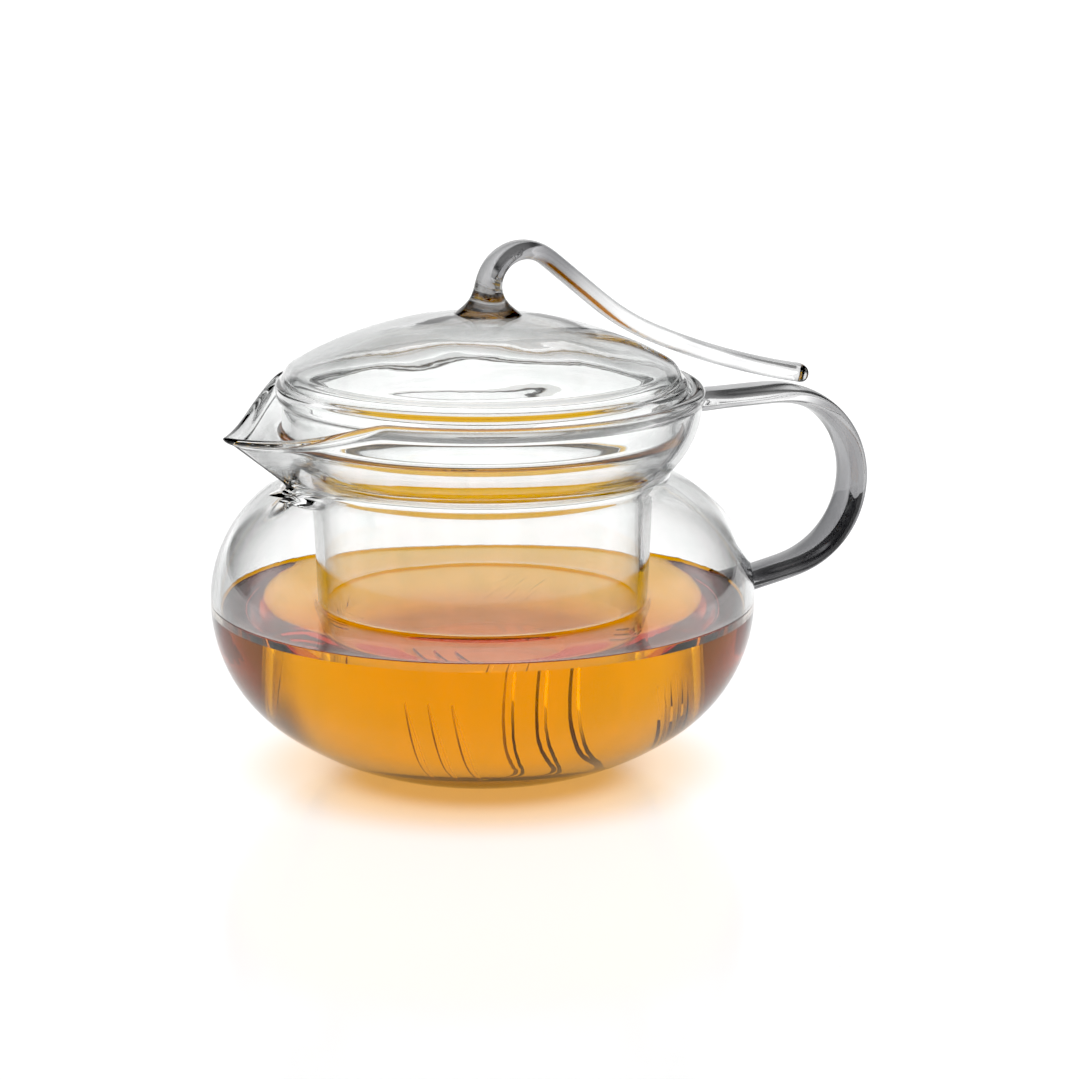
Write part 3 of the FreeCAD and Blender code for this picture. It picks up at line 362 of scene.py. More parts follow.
class Bench:
    """The node tree of a material or a world, with one method that adds any node."""

    def __init__(self, owner: bpy.types.Material | bpy.types.World) -> None:
        """Empty the owner's node tree.

        Args:
            owner: The material or world.
        """
        self.owner = owner
        owner.use_nodes = True
        self.tree = owner.node_tree
        self.tree.nodes.clear()

    def node(self, kind: str, settings: dict[str, Any] | None = None, sockets: Any = ()) -> bpy.types.Node:
        """Add a node.

        Args:
            kind: The node's type.
            settings: Its properties, set before its sockets.
            sockets: Values or links of its inputs, by name or in order.

        Returns:
            The node.
        """
        made = self.tree.nodes.new(kind)
        for key, value in (settings or {}).items():
            setattr(made, key, value)
        pairs = sockets.items() if isinstance(sockets, dict) else enumerate(sockets)
        for key, value in pairs:
            if isinstance(value, Signal):
                self.tree.links.new(value.socket, made.inputs[key])
            elif isinstance(value, bpy.types.NodeSocket):
                self.tree.links.new(value, made.inputs[key])
            else:
                made.inputs[key].default_value = value
        return made

    def number(self, kind: str, settings: dict[str, Any], sockets: Any, output: str | int = 0) -> Signal:
        """Add a node and return one of its outputs as a signal."""
        return Signal(self, self.node(kind, settings, sockets).outputs[output])

    def eased(self, value: Signal, low: float, high: float) -> Signal:
        """A signal turned into a smooth step from 0 at low to 1 at high."""
        sockets = {"Value": value, "From Min": low, "From Max": high}
        return self.number("ShaderNodeMapRange", {"interpolation_type": "SMOOTHSTEP"}, sockets)

    def noise(self, place: Any, scale: float, detail: float = 2.0, roughness: float = 0.5) -> Signal:
        """Noise between 0 and 1 at a place."""
        sockets = {"Vector": place, "Scale": scale, "Detail": detail, "Roughness": roughness}
        return self.number("ShaderNodeTexNoise", {}, sockets, "Fac")

    def between(self, share: Signal, first: Any, second: Any) -> bpy.types.NodeSocket:
        """A colour between two, each a colour or a node's output, by a signal."""
        ends = [end if isinstance(end, bpy.types.NodeSocket) else (*end, 1.0) for end in (first, second)]
        mixed = self.node("ShaderNodeMix", {"data_type": "RGBA"}, {0: share, 6: ends[0], 7: ends[1]})
        return mixed.outputs[2]

    def edgewise(self, low: float, high: float) -> Signal:
        """A smooth step that is 0 on faces seen head on and 1 on faces seen edge on."""
        return self.eased(self.number("ShaderNodeLayerWeight", {}, {"Blend": 0.5}, "Facing"), low, high)

    def finish(self, shader: bpy.types.Node, volume: bpy.types.Node | None = None) -> bpy.types.Material:
        """Join the shader to the material's output and return the material."""
        output = self.node("ShaderNodeOutputMaterial", {}, {"Surface": shader.outputs[0]})
        if volume is not None:
            self.tree.links.new(volume.outputs[0], output.inputs["Volume"])
        return self.owner


class Refraction(Enum):
    """How strongly a face bends light: it depends on what lies on its two sides."""

    GLASS_IN_AIR = 1.47
    WALL_ON_TEA = 1.105
    CUP_IN_TEA = 1.105
    TEA_IN_AIR = 1.333
    TEA_ON_WALL = 1.0


@dataclass(frozen=True)
class BlownGlass:
    """Clear blown glass: slow waves and faint cord streaks in the melt, and painted shade that darkens it
    edge on.
    """

    name: str
    refraction: Refraction = Refraction.GLASS_IN_AIR
    wave_scale: float = 38.0
    wave_depth: float = 0.00022
    upright_stretch: float = 0.45
    cords_and_shade_scale: float = 150.0
    cord_depth: float = 0.00001
    clear: Colour = (1.0, 1.0, 1.0)
    # Colour where the cord noise is high: near white it is the melt's faint cords, and dark it is painted
    # shade in broad patches, as on the handles.
    cords_and_shade: Colour = (0.975, 0.985, 0.98)
    cords_and_shade_low: float = 0.38
    cords_and_shade_high: float = 0.62
    # Painted shade: the colour the glass is darkened to where it is seen edge on.
    edge: Colour = (0.24, 0.25, 0.25)
    painted_shade_from: float = 0.40
    painted_shade_full: float = 1.0

    def material(self) -> bpy.types.Material:
        """Build the material."""
        bench = Bench(bpy.data.materials.new(self.name))
        place = bench.node("ShaderNodeTexCoord").outputs["Object"]
        sockets = {"Vector": place, "Scale": (1.0, 1.0, self.upright_stretch)}
        stretched = bench.node("ShaderNodeMapping", {}, sockets).outputs[0]
        waves = bench.noise(stretched, self.wave_scale, 1.0, 0.4)
        cords_and_shade = bench.noise(stretched, self.cords_and_shade_scale, 2.0, 0.5)
        # Cord tint, which on the handles is dark painted shade in broad patches.
        colour = bench.between(bench.eased(cords_and_shade, self.cords_and_shade_low, self.cords_and_shade_high), self.clear, self.cords_and_shade)
        # Painted shade: the colour darkens towards faces seen edge on.
        colour = bench.between(bench.edgewise(self.painted_shade_from, self.painted_shade_full), colour, self.edge)
        relief = waves * self.wave_depth + cords_and_shade * self.cord_depth
        bump = bench.node("ShaderNodeBump", {}, {"Strength": 1.0, "Distance": 1.0, "Height": relief})
        shader = bench.node(
            "ShaderNodeBsdfPrincipled", {},
            {
                "Base Color": colour,
                "Roughness": 0.0,
                "IOR": self.refraction.value,
                "Transmission Weight": 1.0,
                "Normal": bump.outputs[0],
            },
        )
        return bench.finish(shader)


@dataclass(frozen=True)
class BrewedTea:
    """Amber tea: a nearly still surface over a liquid that takes out blue first and then green."""

    name: str = "amber_tea_surface"
    refraction: Refraction = Refraction.TEA_IN_AIR
    absorbed: Colour = (0.99, 0.90, 0.06)
    # Painted shade: the darker amber the tea turns where it is seen edge on.
    edge: Colour = (0.45, 0.14, 0.01)
    painted_shade_from: float = 0.12
    painted_shade_full: float = 0.90
    density: float = 100.0
    ripple_scale: float = 45.0
    ripple_depth: float = 0.00006

    def material(self) -> bpy.types.Material:
        """Build the material."""
        bench = Bench(bpy.data.materials.new(self.name))
        place = bench.node("ShaderNodeTexCoord").outputs["Object"]
        swirl = bench.noise(place, self.ripple_scale, 1.0, 0.4)
        colour = bench.between(swirl, (1.0, 0.99, 0.96), (1.0, 0.97, 0.92))
        # Painted shade: towards faces seen edge on the tea's colour turns to the edge colour.
        colour = bench.between(bench.edgewise(self.painted_shade_from, self.painted_shade_full), colour, self.edge)
        height = swirl * self.ripple_depth
        bump = bench.node("ShaderNodeBump", {}, {"Strength": 1.0, "Distance": 1.0, "Height": height})
        shader = bench.node(
            "ShaderNodeBsdfPrincipled", {},
            {
                "Base Color": colour,
                "Roughness": 0.0,
                "IOR": self.refraction.value,
                "Transmission Weight": 1.0,
                "Normal": bump.outputs[0],
            },
        )
        liquid = bench.node(
            "ShaderNodeVolumeAbsorption", {}, {"Color": (*self.absorbed, 1.0), "Density": self.density}
        )
        return bench.finish(shader, liquid)


@dataclass(frozen=True)
class StudioTable:
    """A white light table with a satin surface: it glows a little, so that shadows on it stay faint, and
    its glow is painted darker and amber under the pot's foot as a painted shadow and pool of light.
    """

    name: str = "white_table_top"
    glow: float = 0.84
    # Painted shadow under the pot's foot, darker at the middle and lighter round it, tinted amber like
    # light through the tea.
    under: Colour = (0.62, 0.34, 0.12)
    painted_amber_pool: Colour = (0.90, 0.66, 0.44)
    painted_shadow_inner: float = 0.030
    painted_shadow_outer: float = 0.044
    painted_pool_inner: float = 0.040
    painted_pool_outer: float = 0.066

    def material(self) -> bpy.types.Material:
        """Build the material."""
        bench = Bench(bpy.data.materials.new(self.name))
        place = bench.node("ShaderNodeTexCoord").outputs["Object"]
        cloud = bench.noise(place, 3.0, 3.0, 0.5)
        away = bench.number("ShaderNodeVectorMath", {"operation": "LENGTH"}, (place,), "Value")
        past_painted_shadow = bench.eased(away, self.painted_shadow_inner, self.painted_shadow_outer)
        past_painted_pool = bench.eased(away, self.painted_pool_inner, self.painted_pool_outer)
        colour = bench.between(cloud, (0.44, 0.44, 0.44), (0.46, 0.46, 0.46))
        # Painted shadow and pool of amber light: the glow is darker and amber near the foot and white
        # further out.
        painted_amber_pool = bench.between(past_painted_shadow, self.under, self.painted_amber_pool)
        glow = bench.between(past_painted_pool, painted_amber_pool, (1.0, 1.0, 1.0))
        shader = bench.node(
            "ShaderNodeBsdfPrincipled", {},
            {
                "Base Color": colour,
                "Roughness": 0.14 + 0.02 * cloud,
                "Specular IOR Level": 0.3,
                "Emission Color": glow,
                "Emission Strength": self.glow,
            },
        )
        return bench.finish(shader)


def dress(piece: bpy.types.Object, materials: Sequence[bpy.types.Material]) -> None:
    """Give a piece its materials, in slot order."""
    for material in materials:
        piece.data.materials.append(material)


# ---- The pot ----


@dataclass(frozen=True)
class VesselShape:
    """The arcs of the bowl's and the collar's side."""

    bowl_radius: float = 65.0
    equator: float = 41.5
    foot_radius: float = 20.0
    floor_radius: float = 19.6
    wall: float = 2.0
    base_arc: float = 66.0
    side_arc: float = 36.0
    shoulder_arc: float = 32.0
    neck_fillet: float = 1.2
    rim_radius: float = 52.2
    collar_arc: float = 21.6
    collar_top: float = 89.5
    rim_height: float = 91.0
    bead_radius: float = 1.7

    def side(self, inset: float) -> Array:
        """The side from the floor's edge up to where the collar stands upright.

        Formula: five arcs, each tangent to the next, all set in from the outer face by the same glass.

        Args:
            inset: Glass between the outer face and this one.

        Returns:
            Points (radius, height).
        """
        start = (self.floor_radius, self.wall) if inset else (self.foot_radius, 0.0)
        side = (self.bowl_radius - self.side_arc, self.equator)
        shoulder = (self.bowl_radius - self.shoulder_arc, self.equator)
        collar = (self.rim_radius - self.collar_arc, self.collar_top)
        base_radius = self.base_arc - inset
        base = crossing(start, base_radius, side, self.base_arc - self.side_arc, 1)
        base_end = toward(base, side, base_radius)
        neck = crossing(
            shoulder, self.shoulder_arc + self.neck_fillet, collar, self.collar_arc + self.neck_fillet, -1
        )
        to_shoulder, to_collar = bearing(neck, shoulder), bearing(neck, collar)
        groove = self.neck_fillet + inset
        return np.concatenate((
            arc(base, base_radius, bearing(base, start), bearing(base, base_end)),
            arc(side, self.side_arc - inset, bearing(side, base_end), 0.0),
            arc(shoulder, self.shoulder_arc - inset, 0.0, bearing(shoulder, neck)),
            arc(neck, groove, to_shoulder % TAU, to_collar % TAU),
            arc(collar, self.collar_arc - inset, bearing(collar, neck), 0.0),
        ))


@dataclass(frozen=True)
class PouringLip:
    """The pinched lip: level sections are two tangents to the collar that meet in a rounded keel."""

    root_height: float = 70.5
    root_reach: float = 46.4
    lean: float = 1.24
    rounding: float = 1.9
    least_rounding: float = 0.9
    edge_drop: float = 7.5
    drop_angle: float = 0.75
    drop_power: float = 0.7
    bead_size: float = 1.9
    bead_height: float = 70.2
    bead_depth: float = 2.1

    def pinch(
        self, radius: Array, height: Array, offset: Array, top: float, away: Array
    ) -> tuple[Array, Array]:
        """Push a collar's points out to the lip and lower its edge.

        Formula: heights above the root shrink so that the rim drops along a smooth step of the angle;
        the radius becomes R / cos(t - a) along the tangent that leaves the collar at angle t, and the
        rounded keel's circle within the nose.

        Args:
            radius: Radius of the round collar at each point.
            height: Height at each point.
            offset: How far each point lies outside the collar's outer face.
            top: Height of the rim's highest point.
            away: Angle of each point from the lip's middle.

        Returns:
            The new radius and height.
        """
        share = 1.0 - np.abs(away) / self.drop_angle
        drop = self.edge_drop * smoothstep(np.clip(share, 0.0, 1.0) ** self.drop_power)
        above = np.maximum(height - self.root_height, 0.0)
        lowered = height - above * drop / (top - self.root_height)
        reach = self.root_reach + np.maximum(lowered - self.root_height, 0.0) * self.lean + offset
        rounding = np.maximum(self.rounding + offset, self.least_rounding)
        middle = reach - rounding
        leave = np.arccos(np.clip((radius - rounding) / middle, -1.0, 1.0))
        near = np.abs(away)
        tangent = radius / np.cos(np.clip(leave - near, 0.0, 1.4))
        nose = np.arctan2(rounding * np.sin(leave), middle + rounding * np.cos(leave))
        inside = np.maximum(rounding**2 - (middle * np.sin(near)) ** 2, 0.0)
        keel = middle * np.cos(near) + np.sqrt(inside)
        pushed = np.where(near < nose, keel, tangent)
        active = (reach > radius) & (near < leave) & (height > self.root_height)
        return np.where(active, pushed, radius), lowered

    def bead(self, height: Array, away: Array) -> Array:
        """The drop of glass that ends the keel: a bell of the distance from the keel's root."""
        distance = (away * self.root_reach) ** 2 + (height - self.bead_height) ** 2
        return self.bead_depth * np.exp(-distance / (2 * self.bead_size**2))


@dataclass
class Pot:
    """The bowl with its collar, rim and lip, and its strap handle."""

    vessel: VesselShape = field(default_factory=VesselShape)
    lip: PouringLip = field(default_factory=PouringLip)
    columns: int = 300
    handle_height: float = 85.4
    handle_reach: float = 76.5
    handle_loop: float = 22.2
    handle_tilt: float = 12.0
    strap_width: float = 12.6
    strap_thick: float = 4.8
    root_width: float = 9.6
    root_thick: float = 5.8
    root_run: float = 12.0
    weld: float = 0.7
    tea_line: float = 41.6
    wave: float = 0.10

    def angles(self) -> Array:
        """Angles round the axis, closer together at the lip and closest at its keel."""
        fine = np.linspace(-math.pi, math.pi, 20001)
        weight = 1.0 + 1.6 * np.exp(-((fine / 0.75) ** 6)) + 4.0 * np.exp(-((fine / 0.07) ** 2))
        total = np.concatenate(([0.0], np.cumsum((weight[1:] + weight[:-1]) / 2.0)))
        share = np.linspace(0.0, total[-1], self.columns, endpoint=False)
        return np.interp(share, total, fine) + math.pi

    def bowl(self) -> bpy.types.Object:
        """Build the bowl, collar, rim and lip as one closed surface."""
        shape = self.vessel
        middle = (shape.rim_radius - shape.wall / 2.0, shape.rim_height)
        lean = math.acos((shape.wall / 2.0) / shape.bead_radius)
        outer = np.concatenate((line((POLE, 0.0), (shape.foot_radius, 0.0)), shape.side(0.0)))
        bead = arc(middle, shape.bead_radius, -lean, math.pi + lean)
        floor = line((shape.floor_radius, shape.wall), (POLE, shape.wall))
        inner = np.concatenate((shape.side(shape.wall)[::-1], floor))
        whole = softened(np.concatenate((outer, bead, inner)), reach=0.35)
        profile = paced(whole, turn=0.075, least=0.32, most=2.0)
        radius, height = profile[:, :1], profile[:, 1:]
        angle = self.angles()[None, :]
        away = np.abs(angle - math.pi)
        outside = np.zeros(len(profile), dtype=bool)
        outside[: int(np.argmax(profile[:, 1])) + 1] = True
        ring = self.ring_radius(np.minimum(height, shape.collar_top))
        radius = radius + np.zeros_like(angle)
        height = height + np.zeros_like(angle)
        top = shape.rim_height + shape.bead_radius
        pinched, lowered = self.lip.pinch(radius, height, radius - ring, top, away)
        bump = np.where(outside[:, None], self.lip.bead(height, away), 0.0)
        wave = self.wave * ripple(angle, height, 0.6) * smoothstep((height - 6.0) / 20.0)
        wave = np.where(outside[:, None], 0.0, wave * smoothstep((74.0 - height) / 12.0))
        wet = (~outside & (profile[:, 1] < self.tea_line)).astype(int)
        return turned_skin(pinched + bump + wave, lowered, angle, wet[:-1]).object("pot_bowl_glass")

    def ring_radius(self, height: Array) -> Array:
        """Outer radius of the round collar at a height."""
        shape = self.vessel
        drop = np.clip(shape.collar_top - height, 0.0, shape.collar_arc - 0.01)
        return shape.rim_radius - shape.collar_arc + np.sqrt(shape.collar_arc**2 - drop**2)

    def handle(self) -> bpy.types.Object:
        """Build the strap handle, slim and thick where it is welded on, broad and thin round the loop."""
        shape = self.vessel
        loop = (self.handle_reach, self.handle_height - self.handle_loop)
        tilt = math.radians(self.handle_tilt)
        low = -math.pi / 2.0 + tilt
        low_point = (loop[0] + self.handle_loop * math.cos(low), loop[1] + self.handle_loop * math.sin(low))
        foot_x = shape.bowl_radius - self.weld
        foot = (foot_x, low_point[1] - (low_point[0] - foot_x) * math.tan(tilt))
        start = (shape.rim_radius - self.weld, self.handle_height - 0.5)
        path = np.concatenate((
            line(start, (self.handle_reach, self.handle_height)),
            arc(loop, self.handle_loop, math.pi / 2.0, low),
            line(low_point, foot),
        ))
        path = softened(path, reach=2.6)
        total = travelled(path)[-1]
        places = np.linspace(0.0, total, 170)
        path = resampled(path, places)
        from_end = np.minimum(places, total - places)
        grown = smoothstep(from_end / self.root_run)
        flare = 1.0 + 0.28 * np.exp(-from_end / 1.4)
        cap = np.sqrt(np.clip(1.0 - (1.0 - from_end / 0.35) ** 2, 0.0, 1.0))
        cap = np.where(from_end < 0.35, cap, 1.0)
        width = (self.root_width + (self.strap_width - self.root_width) * grown) * flare * cap / 2.0
        thick = (self.root_thick + (self.strap_thick - self.root_thick) * grown) * flare * cap / 2.0
        return swept_skin(path, width, thick, columns=64, fullness=2.5).object("pot_handle_glass")

    def build(
        self, dry: bpy.types.Material, wet: bpy.types.Material, strap: bpy.types.Material
    ) -> list[bpy.types.Object]:
        """Build both pieces, dress them, hang them on the pot's body and hide the CAD nodes they stand in
        for.
        """
        bowl, handle = self.bowl(), self.handle()
        for piece, node, finishes in ((bowl, "pot_bowl", [dry, wet]), (handle, "pot_handle", [strap])):
            dress(piece, finishes)
            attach(piece, "pot")
            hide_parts(node)
        return [bowl, handle]


# ---- The infuser ----


@dataclass
class Infuser:
    """The cup that hangs in the collar, with four groups of three slits over its bottom corner."""

    vessel: VesselShape = field(default_factory=VesselShape)
    bottom: float = 11.0
    radius: float = 38.6
    corner: float = 7.0
    taper: float = 1.8
    wall: float = 2.0
    fillet: float = 3.0
    rim_height: float = 82.4
    seat_gap: float = 0.25
    slit_width: float = 1.4
    slit_pitch: float = 5.0
    slit_lean: float = 5.5
    slit_low: float = 8.0
    slit_high: float = 28.0
    slit_start: float = 31.0
    groups: int = 4
    turn: float = 55.0
    tea_level: float = 41.0
    half_span: float = 14.0
    slit_margin: float = 1.2
    gap_columns: int = 18
    fillet_steps: int = 40
    wave: float = 0.07

    def side(self, inset: float) -> Array:
        """One face from the middle of the floor to the flange's rim, set in by some glass.

        Formula: a level floor, a corner arc, a leaning wall, a fillet and the flange's arc, which shares
        its centre with the collar it rests in.
        """
        lean = math.radians(self.taper)
        floor = self.bottom + inset
        corner = (self.radius - self.corner, self.bottom + self.corner)
        rounding = self.corner - inset
        flange = (self.vessel.rim_radius - self.vessel.collar_arc, self.vessel.collar_top)
        flange_radius = self.vessel.collar_arc - self.vessel.wall - self.seat_gap - inset
        wall_low = (corner[0] + rounding * math.cos(lean), corner[1] - rounding * math.sin(lean))
        fillet_radius = self.fillet + inset
        height = self.vessel.equator
        for _step in range(self.fillet_steps):
            across = wall_low[0] + (height - wall_low[1]) * math.tan(lean) + fillet_radius / math.cos(lean)
            away = across - flange[0]
            height = flange[1] - math.sqrt((flange_radius + fillet_radius) ** 2 - away**2)
        fillet = (across, height)
        leave = math.pi - lean
        wall_high = (
            fillet[0] + fillet_radius * math.cos(leave),
            fillet[1] + fillet_radius * math.sin(leave),
        )
        drop = flange[1] - self.rim_height
        return np.concatenate((
            line((POLE, floor), (corner[0], floor)),
            arc(corner, rounding, -math.pi / 2.0, -lean),
            line(wall_low, wall_high),
            arc(fillet, fillet_radius, leave, bearing(fillet, flange) % TAU),
            arc(flange, flange_radius, bearing(flange, fillet), math.asin(-drop / flange_radius)),
        ))

    def build_skin(self) -> Skin:
        """The cup's closed surface with its slits left open.

        Formula: outer and inner faces share one grid. Over each group the grid's columns follow the
        slits, x = sqrt(r^2 - y^2) at a sideways place y that leans with height, so that a slit is a
        block of cells left out of both faces, and four strips join the faces round it.
        """
        outer = softened(self.side(0.0), reach=0.3)
        outer = paced(outer, turn=0.07, least=0.3, most=1.6)
        inner_dense = softened(self.side(self.wall), reach=0.3)
        normal = np.gradient(outer, axis=0)
        normal = np.stack((-normal[:, 1], normal[:, 0]), axis=1)
        normal /= np.linalg.norm(normal, axis=1)[:, None]
        target = outer + normal * self.wall
        gaps = np.linalg.norm(target[:, None, :] - inner_dense[None, ::4, :], axis=2)
        inner = inner_dense[::4][np.argmin(gaps, axis=1)]
        rim_out, rim_in = outer[-1], inner[-1]
        middle = (rim_out + rim_in) / 2.0
        half = (rim_out - rim_in) / 2.0
        bow = np.linspace(0.0, math.pi, 14)[1:-1, None]
        lift = np.array([[-half[1], half[0]]])
        lift = lift if lift[0, 1] > 0 else -lift
        rim = middle + half * np.cos(bow) + lift * np.sin(bow) * 0.75
        column, marks = self.columns()
        faces = [self.placed(side, column) for side in (outer, rim, inner[::-1])]
        grid = np.concatenate(faces)
        columns = grid.shape[1]
        points = grid.reshape(-1, 3)
        poles = np.array([[0.0, 0.0, outer[0, 1]], [0.0, 0.0, inner[0, 1]]])
        skin = Skin(np.concatenate((points, poles)))
        numbers = np.arange(len(points)).reshape(-1, columns)
        first = int(np.argmin(np.where(outer[:, 0] >= self.slit_start, outer[:, 0], 1e9)))
        last = int(np.argmin(np.abs(outer[:, 1] - self.slit_high)))
        open_cells = np.zeros((len(grid) - 1, columns), dtype=bool)
        for low, high in marks:
            open_cells[first:last, low:high] = True
        open_cells = open_cells | open_cells[::-1]
        wet = np.concatenate((outer, rim, inner[::-1]))[:, 1] < self.tea_level
        slots = np.repeat(wet[:-1].astype(int), columns)
        kept = ~open_cells.ravel()
        skin.add(quads_of(numbers, True)[kept], slots[kept])
        skin.add(fan_of(len(points), numbers[0]), 1)
        skin.add(fan_of(len(points) + 1, numbers[-1][::-1]), 1)
        back = numbers[::-1]
        for low, high in marks:
            for side in (low, high):
                strip = np.stack((numbers[first : last + 1, side], back[first : last + 1, side]))
                skin.add(quads_of(strip, False), 1)
            for row in (first, last):
                strip = np.stack((numbers[row, low : high + 1], back[row, low : high + 1]))
                skin.add(quads_of(strip, False), 1)
        return skin

    def columns(self) -> tuple[list[Column], list[tuple[int, int]]]:
        """The grid's columns, and the first and last column of each slit."""
        span, margin = self.half_span, self.slit_margin
        across: list[Point] = []
        marks: list[tuple[int, int]] = []
        edges = np.linspace(-1.0, 1.0, 5)
        for number in (-1, 0, 1):
            centre = number * self.slit_pitch
            low = -span if number == -1 else centre - self.slit_pitch / 2.0
            count = 7 if number == -1 else 3
            across += [(float(y), 0.0) for y in np.linspace(low, centre - margin, count)]
            marks.append((len(across), len(across) + len(edges) - 1))
            across += [(centre, float(edge)) for edge in edges]
            if number == 1:
                across += [(float(y), 0.0) for y in np.linspace(centre + margin, span, 7)]
            else:
                across += [(centre + margin, 0.0)]
        result: list[Column] = []
        holes: list[tuple[int, int]] = []
        for group in range(self.groups):
            base = math.radians(self.turn) - math.pi / 2.0 + group * TAU / self.groups
            holes += [(len(result) + low, len(result) + high) for low, high in marks]
            result += [(base, y, edge) for y, edge in across]
            shares = np.linspace(0.0, 1.0, self.gap_columns + 2)[1:-1]
            result += [(base, math.nan, float(share)) for share in shares]
        return result, holes

    def placed(self, side: Array, column: list[Column]) -> Array:
        """Points of one face's grid: profile rows by columns."""
        table = np.array(column)
        base, across, edge = table[:, 0][None, :], table[:, 1][None, :], table[:, 2][None, :]
        radius, height = side[:, :1], side[:, 1:]
        middle = (self.slit_low + self.slit_high) / 2.0
        run = (self.slit_high - self.slit_low) / 2.0
        level = np.clip((height - middle) / run, -1.0, 1.0)
        lean = -self.slit_lean / 2.0 * level * (1.0 - smoothstep((height - self.slit_high) / 22.0))
        half = self.slit_width / 2.0 * np.maximum(1.0 - level**2, 0.05)
        half = half + (0.6 - half) * smoothstep((height - self.slit_high - 0.6) / 6.0)
        reach = smoothstep((self.half_span - np.abs(across)) / 7.0)
        sideways = across + lean * reach + half * edge
        held = np.maximum(radius, self.slit_start)
        end = np.arcsin(self.half_span / held)
        between = end + edge * (TAU / self.groups - 2.0 * end)
        angle = base + np.where(np.isnan(across), between, np.arcsin(np.clip(sideways / held, -1.0, 1.0)))
        wave = self.wave * ripple(angle, height, 1.9) * smoothstep((radius - 20.0) / 18.0)
        wave = wave * smoothstep((74.0 - height) / 10.0)
        full = radius + wave
        return np.stack((full * np.cos(angle), full * np.sin(angle), height + 0.0 * angle), axis=-1)

    def build(self, dry: bpy.types.Material, wet: bpy.types.Material) -> bpy.types.Object:
        """Build the cup, dress it, hang it on the infuser's body and hide the CAD node it stands in for."""
        piece = self.build_skin().object("infuser_cup_glass", sharp=40.0)
        dress(piece, [dry, wet])
        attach(piece, "infuser")
        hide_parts("infuser_cup")
        return piece


# ---- The lid ----


